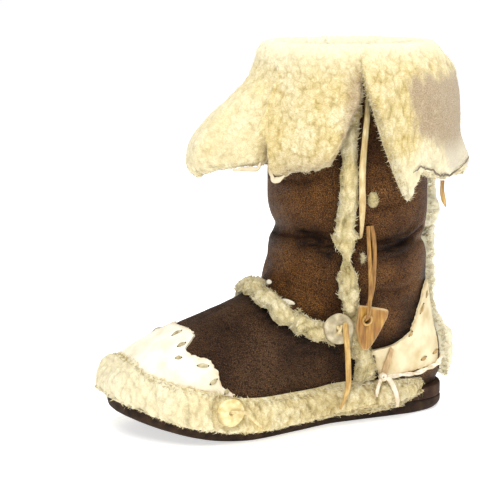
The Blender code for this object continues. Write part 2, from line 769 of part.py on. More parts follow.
def add_cuff(name, shape, profile, columns, finish):
    """A flap of shearling hooked over the collar's rim, flared out towards its hem."""
    place = np.linspace(0, 1, columns)
    knots = np.linspace(0, 1, len(shape["hem"]))
    top, hem_angle, hem, flare = (
        smooth(knots, shape[key], place) for key in ("top_deg", "hem_deg", "hem", "flare")
    )
    drop = np.array(CUFF_DROP)[:, None]
    hem = hem + LOCK_LENGTH * lock_ends(columns)
    z = COLLAR + (hem - COLLAR) * drop
    share = (ROLL_TOP - z) / (ROLL_TOP - hem)
    across = CUFF_GAP + flare * smooth(profile["down_ring"], profile["out_ring"], share)
    angles = top + (hem_angle - top) * drop**SLIT_SWEEP
    slope_across, slope_up = np.gradient(across, axis=0), np.gradient(z, axis=0)
    length = np.hypot(slope_across, slope_up)
    wool = 1 + LOCK_DEPTH * lock_ends(columns) * np.cos(z * 2 * math.pi / LOCK_PITCH)
    thick = CUFF_THICKNESS * np.array(CUFF_FULLNESS)[:, None] * wool
    fold = {key: CUFF_FOLD[key][:, None] + 0 * place for key in CUFF_FOLD}
    fold_angles = top + 0 * fold["inside_up"]

    def body(fold_across, fold_up, path_across, path_up):
        """The whole section, from the fold's inner edge to the hem, at every column."""
        out = np.concatenate([fold_across, path_across])
        up = np.concatenate([COLLAR + fold_up, path_up])
        angle = np.concatenate([fold_angles, angles])
        ring = ring_at(np.minimum(up, COLLAR))
        base, normal = upper_surface(ring, angle), upper_normal(ring, angle)
        normal[..., 2] = 0
        normal /= np.linalg.norm(normal, axis=-1, keepdims=True)
        points = base + normal * out[..., None]
        points[..., 2] = up
        return points

    inner = body(fold["inside_across"], fold["inside_up"], across, z)
    outer = body(
        fold["outside_across"],
        fold["outside_up"],
        across - thick * slope_up / length,
        z + thick * slope_across / length,
    )
    add_sheet(name, outer, inner, finish)


def make_cuffs():
    add_cuff("cuff_front", CUFF_FRONT, FLARE_FRONT, 26, SHEARLING)
    add_cuff("cuff_back", CUFF_BACK, FLARE_BACK, 26, SHEARLING)


# ---- buttons and toggle ----
BUTTON_SECTION = table(  # half section of a horn button with its hole
    "radius up",
    [(2.2, 0), (12.6, 0), (13.4, 1.2), (12.4, 2.8), (8, 3.4), (2.2, 3.2)],
)
BUTTON_OVAL = 0.04  # share by which a button is narrower than tall
BUTTON_GAP = 0.2 * MM  # over the band's crown
BAND_BUTTON = (0.325, math.radians(86))  # ring share and angle
INNER_BUTTON_SINK = 0.5 * MM
RAND_BUTTON = (0.092, math.radians(57))
RAND_BUTTON_STAND, RAND_BUTTON_SIZE = 14.1 * MM, 0.88
TOGGLE_OUTLINE = table(  # seen from the outer side
    "s z",
    [
        (110, 106),
        (97, 103.5),
        (84, 100.5),
        (85, 94.5),
        (93, 81),
        (101, 70),
        (104, 68),
        (108, 69),
        (111, 77),
        (113, 87),
    ],
)
TOGGLE_THICKNESS = 5.5 * MM
TOGGLE_BEVEL = 1.2 * MM
TOGGLE_FACE_Y = -70 * MM
TOGGLE_HOLE = (105 * MM, 94 * MM)
TOGGLE_HOLE_RADIUS = 3.2 * MM


def add_button(name, t, a, stand, size=1.0):
    """A button lying on the wool at a ring and angle of the upper."""
    profile = list(zip(BUTTON_SECTION["radius"] * size, BUTTON_SECTION["up"]))
    add_turned(name, upper_point(t, a, stand), upper_normal(t, a), (0, 0, 1), profile, BUTTON_OVAL, BONE)


def make_toggle():
    """A wedge of horn with a hole for its thong."""
    s, z = TOGGLE_OUTLINE["s"], TOGGLE_OUTLINE["z"]
    middle = np.array([s.mean(), z.mean()])
    outline = np.stack([s, z], -1)
    inward = middle - outline
    inward /= np.linalg.norm(inward, axis=1, keepdims=True)
    loops = []
    bevelled = TOGGLE_THICKNESS - TOGGLE_BEVEL
    for depth, inset in ((0, TOGGLE_BEVEL), (TOGGLE_BEVEL, 0), (bevelled, 0), (TOGGLE_THICKNESS, TOGGLE_BEVEL)):
        ring = outline + inward * inset
        loops.append(np.stack([ring[:, 0], np.full(len(ring), TOGGLE_FACE_Y + depth), ring[:, 1]], -1))
    count = len(outline)
    faces = []
    for level in range(3):
        for i in range(count):
            j = (i + 1) % count
            faces.append([level * count + i, level * count + j, (level + 1) * count + j, (level + 1) * count + i])
    faces.append(list(range(count)))
    faces.append(list(range(3 * count, 4 * count)))
    toggle = add_solid("toggle", np.concatenate(loops), faces, HORN)
    bpy.ops.mesh.primitive_cylinder_add(
        vertices=16,
        radius=TOGGLE_HOLE_RADIUS,
        depth=4 * TOGGLE_THICKNESS,
        location=to_world((TOGGLE_HOLE[0], TOGGLE_FACE_Y, TOGGLE_HOLE[1])),
        rotation=(math.pi / 2, 0, 0),
    )
    drill = bpy.context.object
    drill.name = "toggle_drill"
    drill.hide_render = True
    drill.display_type = "WIRE"
    hole = toggle.modifiers.new("thong hole", "BOOLEAN")
    hole.object = drill
    hole.operation = "DIFFERENCE"


def make_buttons():
    on_band = BAND_HEIGHT + BAND_GAP + BUTTON_GAP
    ring, angle = BAND_BUTTON
    add_button("button_outer", ring, angle, on_band)
    add_button("button_inner", ring, -angle, on_band - INNER_BUTTON_SINK)
    ring, angle = RAND_BUTTON
    add_button("button_rand", ring, angle, RAND_BUTTON_STAND, RAND_BUTTON_SIZE)


# ---- thongs ----
THONG_ROUTES = {  # name: (thickness, route), in millimetres as (s, y, z), chosen by hand
    "thong_side": (4.0, [  # from a hole under the back flap to a hole beside the side strip
        (101.5, -61.0, 272), (103.5, -64, 262), (106.5, -66.5, 245), (109, -67.3, 222),
        (109.3, -67.3, 205), (108.5, -66.5, 190), (107.5, -64.5, 177), (106, -61, 167), (105, -57.8, 160.5),
    ]),
    "thong_toggle": (2.4, [  # out of the shaft, through the toggle and back
        (97, -61.8, 170), (95.6, -62.6, 160), (94.8, -63.2, 148), (95, -63.2, 134), (95.8, -62.8, 120),
        (98.5, -62.2, 107), (103, -62.2, 99), (105, -63.9, 94.8), (105.2, -67.2, 93.8), (105.4, -70.6, 94.6),
        (105.4, -73.2, 99), (104.4, -73.4, 108), (102.6, -71.4, 122), (101.6, -68, 138), (101, -65, 152),
        (100.6, -62.8, 163), (100.4, -61.8, 170),
    ]),
    "thong_button": (3.4, [  # from the outer button down over the rand
        (121.4, -64.0, 92), (121.6, -65.4, 84), (120, -64.8, 72), (118, -63, 56), (117, -61.6, 39),
        (119.6, -60.7, 27), (123.6, -60.7, 19),
    ]),
    "thong_rand": (2.0, [  # from the rand's button over its wool
        (230.5, -78.6, 33), (225, -79.3, 32.6), (219.5, -79.3, 31.6), (214.5, -76.6, 29), (208.5, -75.4, 23),
        (203, -74.2, 18), (199.5, -73.2, 14.2),
    ]),
    "thong_inner": (2.4, [  # from the inner button
        (125.3, 56.8, 86.3), (126.3, 55.9, 82.3), (126.6, 55.5, 78.6), (127.5, 56.6, 72), (128.2, 57, 64), (128.6, 56.4, 57),
    ]),
    "thong_cuff": (2.8, [  # from the back flap's hem
        (33, -64.9, 204), (33.2, -64.9, 196), (32, -65, 189), (29.6, -65.2, 182),
    ]),
    "lace_tail_long": (3.2, [
        (78, -57.6, 40), (75.4, -59.8, 36), (73, -62.2, 29), (71, -62.5, 22), (70.2, -61.4, 15.5),
    ]),
    "lace_tail_short": (2.6, [
        (83.9, -56.8, 38.7), (87, -59.4, 35), (89.4, -61, 30.5), (90, -61.6, 26),
    ]),
}
HEEL_LACE = table(  # along the foot of either counter
    "angle_deg at_ring stand",
    [
        (119, 0.108, 3.2),
        (127, 0.100, 3.2),
        (135, 0.088, 3.2),
        (144, 0.098, 3.6),
        (150, 0.108, 5.4),
        (156, 0.135, 5.6),
    ],
)
HEEL_LACE_THICKNESS = 4.2 * MM
KNOT_PLACE = (81 * MM, -54.2 * MM, 40.4 * MM)
KNOT_RADIUS = 3.6 * MM
KNOT_CORE = 0.8 * MM  # radius of the hole through the middle of its turns
KNOT_OVAL = 0.1
KNOT_TURNS = np.radians((24, 60, 90, 120, 156))


def make_thongs():
    for name, (thickness, route) in THONG_ROUTES.items():
        add_thong(name, route, thickness * MM, THONG_HIDE)


def make_heel_laces():
    angles, rings, stand = (HEEL_LACE[key] for key in ("angle_deg", "at_ring", "stand"))
    for name, side in (("heel_lace_outer", 1), ("heel_lace_inner", -1)):
        route = upper_point(rings, side * angles, stand) / MM
        add_thong(name, route, HEEL_LACE_THICKNESS, RAWHIDE)


def make_knot():
    rings = [(KNOT_RADIUS * math.sin(turn), -KNOT_RADIUS * math.cos(turn)) for turn in KNOT_TURNS]
    profile = [(KNOT_CORE, rings[0][1])] + rings + [(KNOT_CORE, rings[-1][1])]
    add_turned("lace_knot", KNOT_PLACE, (0, -1, 0), (0, 0, 1), profile, KNOT_OVAL, THONG_HIDE, sides=10)


def centre_on_floor():
    """Put the origin on the floor, under the middle of the boot's box."""
    corners = []
    for made in bpy.context.scene.objects:
        if made.type == "MESH" and not made.hide_render and made.name != "toggle":
            corners += [vertex.co for vertex in made.data.vertices]
    corners = np.array([tuple(corner) for corner in corners])
    middle = (corners.min(axis=0) + corners.max(axis=0)) / 2
    for made in bpy.context.scene.objects:
        made.location.x -= middle[0]
        made.location.y -= middle[1]


def main():
    clear_scene()
    make_outsole()
    make_heel_wedge()
    make_upper()
    make_insole()
    make_toe_cap()
    make_counters()
    make_rand()
    make_instep_band()
    make_side_strip()
    make_back_strip()
    make_cuffs()
    make_buttons()
    make_toggle()
    make_heel_laces()
    make_knot()
    make_thongs()
    centre_on_floor()


main()
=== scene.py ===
"""Looks of a left sheepskin boot: hide, wool, rubber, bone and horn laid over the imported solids.

Metres, +Z up: the toe points along -X and the outer side faces -Y. As on the last, s runs forward
from the back of the heel, y from the outer side to the inner and z up from the floor. A place on
the upper is a ring (0 at the sole, 1 at the collar) and an angle (0 toe, a quarter turn outer side,
half a turn heel).
"""

import math
from dataclasses import dataclass
from functools import cache, partial

import bpy
import numpy as np
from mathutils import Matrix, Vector, noise


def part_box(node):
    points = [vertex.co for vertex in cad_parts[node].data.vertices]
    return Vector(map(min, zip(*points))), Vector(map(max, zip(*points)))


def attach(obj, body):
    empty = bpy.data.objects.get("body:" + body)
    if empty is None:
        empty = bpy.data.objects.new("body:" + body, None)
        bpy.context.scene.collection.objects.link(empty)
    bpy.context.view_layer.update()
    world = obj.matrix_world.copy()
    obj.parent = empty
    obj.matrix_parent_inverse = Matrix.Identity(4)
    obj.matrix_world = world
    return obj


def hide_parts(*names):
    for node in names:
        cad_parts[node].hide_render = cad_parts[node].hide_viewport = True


bl_info = {
    "name": "Sheepskin boot",
    "version": (1, 0, 0),
    "blender": (4, 5, 0),
    "location": "View3D > Sidebar > Boot",
    "description": "Dresses the solids of a left sheepskin boot in hide, wool, rubber, bone and horn",
    "category": "Object",
}

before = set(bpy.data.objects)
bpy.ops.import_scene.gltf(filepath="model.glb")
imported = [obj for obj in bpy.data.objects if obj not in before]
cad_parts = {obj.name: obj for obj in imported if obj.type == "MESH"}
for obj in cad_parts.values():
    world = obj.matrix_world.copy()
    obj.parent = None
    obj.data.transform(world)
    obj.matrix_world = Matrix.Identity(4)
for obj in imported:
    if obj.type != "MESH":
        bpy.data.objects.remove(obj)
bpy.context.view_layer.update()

MM = 0.001
TURN = 2 * math.pi


# ---- tables and curves ----
def table(columns, *rows):
    """{column: array} of a table: *_deg in degrees, *_ring as shares, other columns in millimetres."""
    found = {}
    for name, values in zip(columns.split(), np.array(rows, float).T):
        if name.endswith("_deg"):
            values = np.radians(values)
        elif not name.endswith("_ring"):
            values = values * MM
        found[name] = values
    return found


def curve(start, end, leaving, arriving, u):
    """A cubic from start to end with its slopes at both, at shares u of the way."""
    return (
        start * (1 + 2 * u) * (1 - u) ** 2
        + leaving * u * (1 - u) ** 2
        + end * u * u * (3 - 2 * u)
        + arriving * u * u * (u - 1)
    )


def smooth(knots, values, x):
    """A cubic through the knots that never overshoots a row."""
    knots, values = np.asarray(knots, float), np.asarray(values, float)
    x = np.clip(np.asarray(x, float), knots[0], knots[-1])
    steps = np.diff(knots)
    slopes = np.diff(values) / steps
    both = slopes[:-1] + slopes[1:]
    steady = slopes[:-1] * slopes[1:] > 0
    inner = np.where(steady, 2 * slopes[:-1] * slopes[1:] / np.where(both == 0, 1, both), 0)
    tangents = np.concatenate([slopes[:1], inner, slopes[-1:]])
    i = np.clip(np.searchsorted(knots, x, side="right") - 1, 0, len(steps) - 1)
    u = (x - knots[i]) / steps[i]
    return curve(values[i], values[i + 1], tangents[i] * steps[i], tangents[i + 1] * steps[i], u)


def look_up(rows, x, column):
    """A column of a table at values of the table's first column."""
    return smooth(next(iter(rows.values())), rows[column], x)


def spread(rows, share, columns):
    """Columns of a table at shares of the way down it, its rows evenly apart."""
    found = [smooth(np.linspace(0, 1, len(rows[name])), rows[name], share) for name in columns.split()]
    return found if len(found) > 1 else found[0]


def ramp(x, start, end):
    """0 before start, 1 after end, smooth between."""
    u = np.clip((np.asarray(x, float) - start) / (end - start), 0, 1)
    return u * u * (3 - 2 * u)


def bell(x, width):
    """1 at 0, falling off to either side over a width."""
    return np.exp(-((x / width) ** 2))


def refined(rows, count):
    """Rows of points or grids drawn as one smooth curve of count rows."""
    rows = np.asarray(rows, float)
    place = np.linspace(0, len(rows) - 1, count)
    i = np.clip(place.astype(int), 0, len(rows) - 2)
    u = (place - i).reshape((-1,) + (1,) * (rows.ndim - 1))
    padded = np.concatenate([[2 * rows[0] - rows[1]], rows, [2 * rows[-1] - rows[-2]]])
    before, start, end, after = (padded[i + k] for k in range(4))
    return curve(start, end, (end - before) / 2, (after - start) / 2, u)


def run_along(points):
    """Distance along a line of points from its first, down the first axis."""
    steps = np.linalg.norm(np.diff(points, axis=0), axis=-1)
    return np.concatenate([np.zeros_like(steps[:1]), np.cumsum(steps, axis=0)])


def evenly(points, count, closed=False):
    """Points of the same line, evenly spaced."""
    run = run_along(points)
    even = np.linspace(0, run[-1], count, endpoint=not closed)
    return np.stack([np.interp(even, run, column) for column in points.T], -1)


def even_columns(guide, *grids):
    """The grids with their columns spaced evenly along a guide line of points."""
    run = run_along(guide)
    place = np.interp(np.linspace(0, run[-1], len(run)), run, np.arange(len(run)))
    i = np.clip(place.astype(int), 0, len(run) - 2)
    spaced = []
    for grid in grids:
        u = (place - i).reshape((1, -1) + (1,) * (grid.ndim - 2))
        spaced.append(grid[:, i] * (1 - u) + grid[:, i + 1] * u)
    return spaced


def unit(vectors):
    return vectors / np.maximum(np.linalg.norm(vectors, axis=-1, keepdims=True), 1e-12)


def circle(count, closed=False):
    """(cosine, sine) round a turn."""
    turn = np.linspace(0, TURN, count, endpoint=closed)
    return np.stack([np.cos(turn), np.sin(turn)], -1)


# ---- the last: the driving sizes and sections of the solids ----
GAP = 0.3 * MM
SOLE_LENGTH = 300 * MM
SOLE_THICKNESS = 11 * MM
TOE_SPRING = 23 * MM
BALL_LINE = 196 * MM
SPRING_POWER = 1.9
WALL = 5 * MM
LEATHER = 2.0 * MM
PLAN = table(
    "s lateral medial swing",
    (0, 38, 36, 0), (60, 39, 37, 0), (112, 39, 35, 0), (160, 48, 40, -1), (200, 56, 49, -1),
    (240, 57, 53, 0), (300, 53, 53, 6),
)
TOE_ROUND, TOE_SQUARE = 80 * MM, 2.1
HEEL_ROUND, HEEL_SQUARE = 38 * MM, 2.2
WEDGE = table("s thick", (0, 10.5), (40, 10), (80, 7.5), (120, 3.5), (152, 0.8), (300, 0.8))
WEDGE_END, WEDGE_FADE = 150 * MM, 20 * MM
RINGS = table(
    "front_s front_z back_s back_z half_width",
    (298, 37, 3, 22, 37), (297, 45, 0, 31, 40), (293, 54, 0, 41, 42), (285, 62, 1, 51, 43),
    (270, 73, 3, 61, 44), (248, 84.5, 7, 71, 46), (222, 94.5, 11, 80, 49), (197, 103.5, 14, 89, 52),
    (178, 111.5, 17, 99, 55), (164, 120, 19, 110, 58), (156, 130, 20, 121, 60), (154, 143, 20, 134, 61),
    (151, 155, 22, 145, 60), (147, 163, 25, 151, 57), (151, 172, 22, 159, 60), (154, 188, 20, 178, 62),
    (154, 210, 20, 202, 62), (152, 238, 21, 234, 61), (150, 270, 22, 268, 60), (150, 298, 23, 298, 59),
)
SHAFT_FRONT = 154 * MM
UPPER_TOE = 298.6 * MM
WIDEST_UP = 34 * MM
BULGE, BULGE_FROM, BULGE_SPAN = 0.04, 12 * MM, 40 * MM
FOOT_FROM, FOOT_FULL = 15 * MM, 70 * MM
FOOT_SQUARE, SHAFT_SQUARE, BLEND_POWER = 2.2, 2.2, 5
SWING_END, SWING_GONE = 80 * MM, 130 * MM
SAG_ENDS = 0.42
TOGGLE_FACE_Y = -70 * MM
HEEL_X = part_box("outsole")[1].x  # where s is 0
MIDDLE_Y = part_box("toggle")[0].y - TOGGLE_FACE_Y  # where y is 0
DOWN = np.array([0, 0, -1])


def to_frame(points):
    """(s, y, z) to the frame."""
    points = np.asarray(points, float)
    return np.stack([HEEL_X - points[..., 0], points[..., 1] + MIDDLE_Y, points[..., 2]], -1)


def plan_half(s, toe_end):
    """(half width, middle line) of the last's plan at s."""
    lateral, medial, swing = (look_up(PLAN, s, name) for name in ("lateral", "medial", "swing"))
    toe = np.clip((s - (toe_end - TOE_ROUND)) / TOE_ROUND, 0, 1)
    heel = np.clip((HEEL_ROUND - s) / HEEL_ROUND, 0, 1)
    ends = (1 - toe**TOE_SQUARE) ** (1 / TOE_SQUARE) * (1 - heel**HEEL_SQUARE) ** (1 / HEEL_SQUARE)
    return (medial + lateral) / 2 * ends, (medial - lateral) / 2 + swing


def floor_rise(s):
    """Height of the outsole's underside: flat to the ball, then the toe spring."""
    beyond = np.clip((s - BALL_LINE) / (SOLE_LENGTH - BALL_LINE), 0, 1)
    return TOE_SPRING * beyond**SPRING_POWER


def sole_top(s):
    """Height of the surface that the upper stands on."""
    wedge = look_up(WEDGE, s, "thick") * (1 - ramp(s, WEDGE_END - WEDGE_FADE, WEDGE_END))
    return floor_rise(s) + SOLE_THICKNESS + wedge


RIDGE = spread(RINGS, np.linspace(0.6, 0, 400), "front_s front_z")


def ring_sag(share):
    """How far the lowest ring dips to lie on the sole."""
    first = {name: column[0] for name, column in RINGS.items()}
    s = first["back_s"] + (first["front_s"] - first["back_s"]) * share
    straight = first["back_z"] + (first["front_z"] - first["back_z"]) * share
    return straight - sole_top(s) - GAP


def upper_surface(t, a):
    """Outer surface of the upper at ring t and angle a."""
    t, a = np.broadcast_arrays(np.asarray(t, float), np.asarray(a, float))
    share = (1 + np.cos(a)) / 2
    front_s, front_z, back_s, back_z, half_width = spread(RINGS, t, " ".join(RINGS))
    s = back_s + (front_s - back_s) * share
    z = back_z + (front_z - back_z) * share
    z = z - ring_sag(share) * (1 - ramp(t, 0, SAG_ENDS))
    half, middle = plan_half(np.clip(s, 0, None), UPPER_TOE)
    widest = floor_rise(s) + WIDEST_UP
    top = np.maximum(np.interp(s, *RIDGE), widest + 1e-5)
    rise = np.clip((z - widest) / (top - widest), 0, 1)
    swelling = np.clip((z - floor_rise(s) - BULGE_FROM) / BULGE_SPAN, 0, 1)
    bulge = 1 + BULGE * np.sin(swelling * math.pi)
    foot = half * bulge * np.sqrt(1 - rise**FOOT_SQUARE) * ramp(s, FOOT_FROM, FOOT_FULL)
    shaft_front = np.minimum(front_s, SHAFT_FRONT)
    centre, reach = (shaft_front + back_s) / 2, (shaft_front - back_s) / 2
    across = np.clip(np.abs((s - centre) / reach), 0, 1)
    shaft = half_width * (1 - across**SHAFT_SQUARE) ** (1 / SHAFT_SQUARE)
    width = (foot**BLEND_POWER + shaft**BLEND_POWER) ** (1 / BLEND_POWER)
    y = middle * (1 - ramp(z, SWING_END, SWING_GONE)) - np.sign(np.sin(a)) * width
    return np.stack([s, y, z], -1)


def upper_slopes(t, a):
    """How the outer surface moves with the ring share and with the angle."""
    ring_step, angle_step = 1e-3, 0.02
    low, high = np.clip(t - ring_step, 0, 1), np.clip(t + ring_step, 0, 1)
    along = (upper_surface(high, a) - upper_surface(low, a)) / np.asarray(high - low)[..., None]
    around = (upper_surface(t, a + angle_step) - upper_surface(t, a - angle_step)) / (2 * angle_step)
    return along, around


def upper_normal(t, a):
    return unit(np.cross(*upper_slopes(t, a)))


def upper_point(t, a, offset):
    """A point off the upper's outer surface, outward by offset."""
    return upper_surface(t, a) + upper_normal(t, a) * np.asarray(offset, float)[..., None]


def beside(t, a, direction, distance):
    """(t, a) of the upper's points at a distance from (t, a) in a direction along the surface."""
    along, around = upper_slopes(t, a)
    shift = direction * distance[..., None]
    aa, bb, ab = (along * along).sum(-1), (around * around).sum(-1), (along * around).sum(-1)
    sa, sb = (shift * along).sum(-1), (shift * around).sum(-1)
    scale = aa * bb - ab * ab
    return t + (sa * bb - sb * ab) / scale, a + (sb * aa - sa * ab) / scale


def sole_outline(angles, inset):
    """(s, y) of the sole's outline at the angles, moved inward by inset, and its outward direction."""

    def point(angle):
        s = SOLE_LENGTH * (1 + np.cos(angle)) / 2
        half, middle = plan_half(s, SOLE_LENGTH)
        return np.stack([s, middle - np.sign(np.sin(angle)) * half], -1)

    step = 0.01
    direction = point(angles + step) - point(angles - step)
    outward = unit(np.stack([-direction[..., 1], direction[..., 0]], -1))
    return point(angles) - outward * inset, outward


def raised(outline, heights):
    """An outline in plan with its height added."""
    heights = np.broadcast_to(heights, outline.shape[:-1])
    return np.concatenate([outline, heights[..., None]], -1)


# ---- chance, the same each run ----
def noise_at(points, size, seed=0):
    """Smooth noise, about -1 to 1, with features of a size."""
    points = np.asarray(points, float)
    flat = points.reshape(-1, 3) / size + 7.31 * seed
    return np.array([noise.noise(p) for p in flat.tolist()]).reshape(points.shape[:-1])


def wander(places, rate, row=0):
    """Smooth noise along a line, at a rate per unit."""
    return np.array([noise.noise((rate * place, row, 0)) for place in places])


def cells_at(points, size, seed=0):
    """Rounded clumps about a size across: how high each point is on its clump, 0 in the crevices and
    1 on the crown, and the way from the point to the crown."""
    noise.seed_set(1)  # else the bends differ from run to run
    points = np.asarray(points, float)
    flat = points.reshape(-1, 3) / size + 3.17 * seed
    rise, ways = np.empty(len(flat)), np.empty_like(flat)
    for i, place in enumerate(flat.tolist()):
        slow = noise.noise_vector([0.6 * x for x in place])
        quick = noise.noise_vector([1.7 * x for x in place])
        bent = [place[k] + 0.5 * slow[k] + 0.2 * quick[k] for k in range(3)]
        distances, centres = noise.voronoi(bent)
        crest = min(1.0, 1.5 * (distances[1] - distances[0]))
        dome = max(0.0, 1 - 1.2 * distances[0] ** 2)
        rise[i] = 0.2 * crest * (2 - crest) + 0.8 * dome
        ways[i] = centres[0]
    return rise.reshape(points.shape[:-1]), ((ways - flat) * size).reshape(points.shape)


# ---- meshes ----
# A shape is (points, faces by number of corners, marks): marks holds three values of each point
# that its material reads: how high it stands (0 crevice, 1 crown), which the fleeces and the hide
# paint darker low down as shade; its wear, which on some pieces also carries painted shade and on
# others a painted highlight; and its own chance, which on a fleece's bed holds how far it is painted paler.
def grid_faces(rows, columns, wrap=False, flip=False):
    """Quads of a grid of points, row by row."""
    spans = columns if wrap else columns - 1
    row, column = np.meshgrid(np.arange(rows - 1), np.arange(spans), indexing="ij")
    row, column = row.ravel(), column.ravel()
    following = (column + 1) % columns
    low, high = row * columns, (row + 1) * columns
    quads = np.stack([low + column, low + following, high + following, high + column], -1)
    return quads[:, ::-1] if flip else quads


def marks_of(shape, *values):
    """Marks for a grid: each value a number or an array that fits the grid."""
    filled = [np.broadcast_to(value, shape).ravel() for value in values]
    filled += [np.zeros(int(np.prod(shape)))] * (3 - len(filled))
    return np.stack(filled, -1)


def surface_shape(grid, marks, wrap=False, flip=False):
    """An open surface through a grid of points."""
    rows, columns = grid.shape[:2]
    return grid.reshape(-1, 3), [grid_faces(rows, columns, wrap, flip)], marks


def sheet_shape(outer, inner, marks, inner_marks=None):
    """A closed sheet between two grids; the inner face has marks of nought unless they are given."""
    rows, columns = outer.shape[:2]
    layer = rows * columns
    faces = [grid_faces(rows, columns), grid_faces(rows, columns, flip=True) + layer]
    spans, steps = np.arange(columns - 1), np.arange(rows - 1)
    edges = [(row * columns + spans, 1, row == 0) for row in (0, rows - 1)]
    edges += [(steps * columns + column, columns, column > 0) for column in (0, columns - 1)]
    for first, following, flip in edges:
        edge = np.stack([first, first + following], -1)
        quads = np.concatenate([edge, edge[:, ::-1] + layer], -1)
        faces.append(quads if flip else quads[:, ::-1])
    points = np.concatenate([outer.reshape(-1, 3), inner.reshape(-1, 3)])
    inner_marks = np.zeros((layer, 3)) if inner_marks is None else inner_marks
    return points, [np.concatenate(faces)], np.concatenate([marks, inner_marks])


def slab_shape(loops, marks=(1, 0, 0)):
    """A closed solid lofted through outlines from the lowest to the highest, closed across."""
    loops = np.asarray(loops)
    levels, count = loops.shape[:2]
    half = count // 2
    sides = grid_faces(levels, count, wrap=True)
    across = np.arange(1, half - 1)
    strips = np.stack([across, across + 1, count - across - 1, count - across], -1)
    tips = np.array([[0, 1, count - 1], [half, half + 1, half - 1]])
    top = (levels - 1) * count
    faces = [sides, strips[:, ::-1], strips + top, tips[:, ::-1], tips + top]
    return loops.reshape(-1, 3), faces, np.broadcast_to(np.array(marks, float), (levels * count, 3))


def swept_shape(centres, across, up, section, marks, start=True):
    """Tubes along centres ([tubes,] steps, 3): the section's two directions, the section (corners, 2)
    and the marks can differ at each step. start says if the first end is closed."""
    centres = centres.reshape((-1,) + centres.shape[-2:])
    count, steps = centres.shape[:2]
    across, up, marks = (np.broadcast_to(part, centres.shape)[:, :, None] for part in (across, up, marks))
    section = np.broadcast_to(section, (count, steps) + np.shape(section)[-2:])
    corners = section.shape[-2]
    points = centres[:, :, None] + section[..., :1] * across + section[..., 1:] * up
    first = (np.arange(count) * steps * corners)[:, None]
    ring = np.arange(corners)[None]
    faces = [(grid_faces(steps, corners, wrap=True)[None] + first[:, None]).reshape(-1, 4)]
    faces.append(first + (steps - 1) * corners + ring)
    if start:
        faces.append(first + ring[:, ::-1])
    marks = np.broadcast_to(marks, points.shape)
    return points.reshape(-1, 3), faces, marks.reshape(-1, 3)


def directions(path, axis):
    """The two directions across a path: one square to an axis, and the other square to that."""
    tangents = unit(np.gradient(path, axis=0))
    across = unit(np.cross(tangents, axis))
    return across, np.cross(across, tangents)


def tube_shape(path, radius, axis, marks=(0.6, 0.15, 0.5)):
    """A round thong along a path."""
    return swept_shape(path, *directions(path, axis), circle(10) * radius, marks)


def add_piece(name, shapes, finish, replaced=(), smooth_angle=60):
    """One mesh of several shapes, which rides on the boot and stands for solids of the frame."""
    points = np.concatenate([shape[0] for shape in shapes])
    marks = np.concatenate([shape[2] for shape in shapes])
    faces, first = [], 0
    for shape in shapes:
        faces += [part + first for part in shape[1]]
        first += len(shape[0])
    totals = np.concatenate([np.full(len(part), part.shape[1]) for part in faces])
    mesh = bpy.data.meshes.new(name)
    mesh.vertices.add(len(points))
    mesh.vertices.foreach_set("co", to_frame(points).ravel())
    mesh.loops.add(int(totals.sum()))
    mesh.loops.foreach_set("vertex_index", np.concatenate([part[:, ::-1].ravel() for part in faces]))
    mesh.polygons.add(len(totals))
    mesh.polygons.foreach_set("loop_start", np.concatenate([[0], np.cumsum(totals)[:-1]]))
    mesh.update(calc_edges=True)
    mesh.attributes.new("marks", "FLOAT_VECTOR", "POINT").data.foreach_set("vector", marks.ravel())
    mesh.shade_smooth()
    mesh.set_sharp_from_angle(angle=math.radians(smooth_angle))
    mesh.materials.append(finish)
    made = bpy.data.objects.new(name, mesh)
    bpy.context.scene.collection.objects.link(made)
    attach(made, "root")
    if replaced:
        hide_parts(*replaced)
    return made


# ---- wool ----
HAIR_LENGTH, HAIR_THICKNESS = 4 * MM, 0.25 * MM
LOCK_SCATTER = 0.5  # how unruly the locks are
LOCK_SUNK = 0.25  # share of a lock's length that stands in the bed


@dataclass
class Wool:
    """How a fleece grows: its curls and the locks and hairs that stand out of it, in millimetres."""

    curl: float  # across a curl of the bed
    depth: float  # from its crown down to the crevices
    stretch: float = 1.0  # how much taller than wide it is
    fringe: int = 0  # how many locks stand along its borders
    fringe_width: float = 5
    locks: int = 0  # and how many on the rest
    length: float = 5
    thickness: float = 2
    lean: float = 0.5  # how far a lock is combed, 0 upright
    gather: float = 0.4  # how far its tip is drawn to the crown of its curl
    roll: float = 0.6  # how far it rolls over
    hairs: int = 0  # how many single hairs stand out


def grid_normals(grid, outward):
    """Unit normals of a grid of points, on the side that outward points to."""
    normals = unit(np.cross(np.gradient(grid, axis=0), np.gradient(grid, axis=1)))
    return normals * np.sign((normals * outward).sum(-1, keepdims=True).mean())


def scattered(grid, count, seed):
    """Places in a grid's own rows and columns, spread evenly over its area."""
    sides = np.diff(grid, axis=0)[:, :-1], np.diff(grid, axis=1)[:-1]
    area = np.linalg.norm(np.cross(*sides), axis=-1).ravel()
    luck = np.random.default_rng(seed).random((count, 3))
    share = (np.arange(count) + luck[:, 0]) / count
    cell = np.searchsorted(np.cumsum(area) / area.sum(), share)
    cell = np.clip(cell, 0, len(area) - 1)
    columns = grid.shape[1] - 1
    return cell // columns + luck[:, 1], cell % columns + luck[:, 2]


def at_places(grid, rows, columns):
    """Values of a grid at places between its points."""
    i = np.clip(rows.astype(int), 0, grid.shape[0] - 2)
    j = np.clip(columns.astype(int), 0, grid.shape[1] - 2)
    u, v = rows - i, columns - j
    if grid.ndim > 2:
        u, v = u[:, None], v[:, None]
    near = grid[i, j] * (1 - v) + grid[i, j + 1] * v
    far = grid[i + 1, j] * (1 - v) + grid[i + 1, j + 1] * v
    return near * (1 - u) + far * u


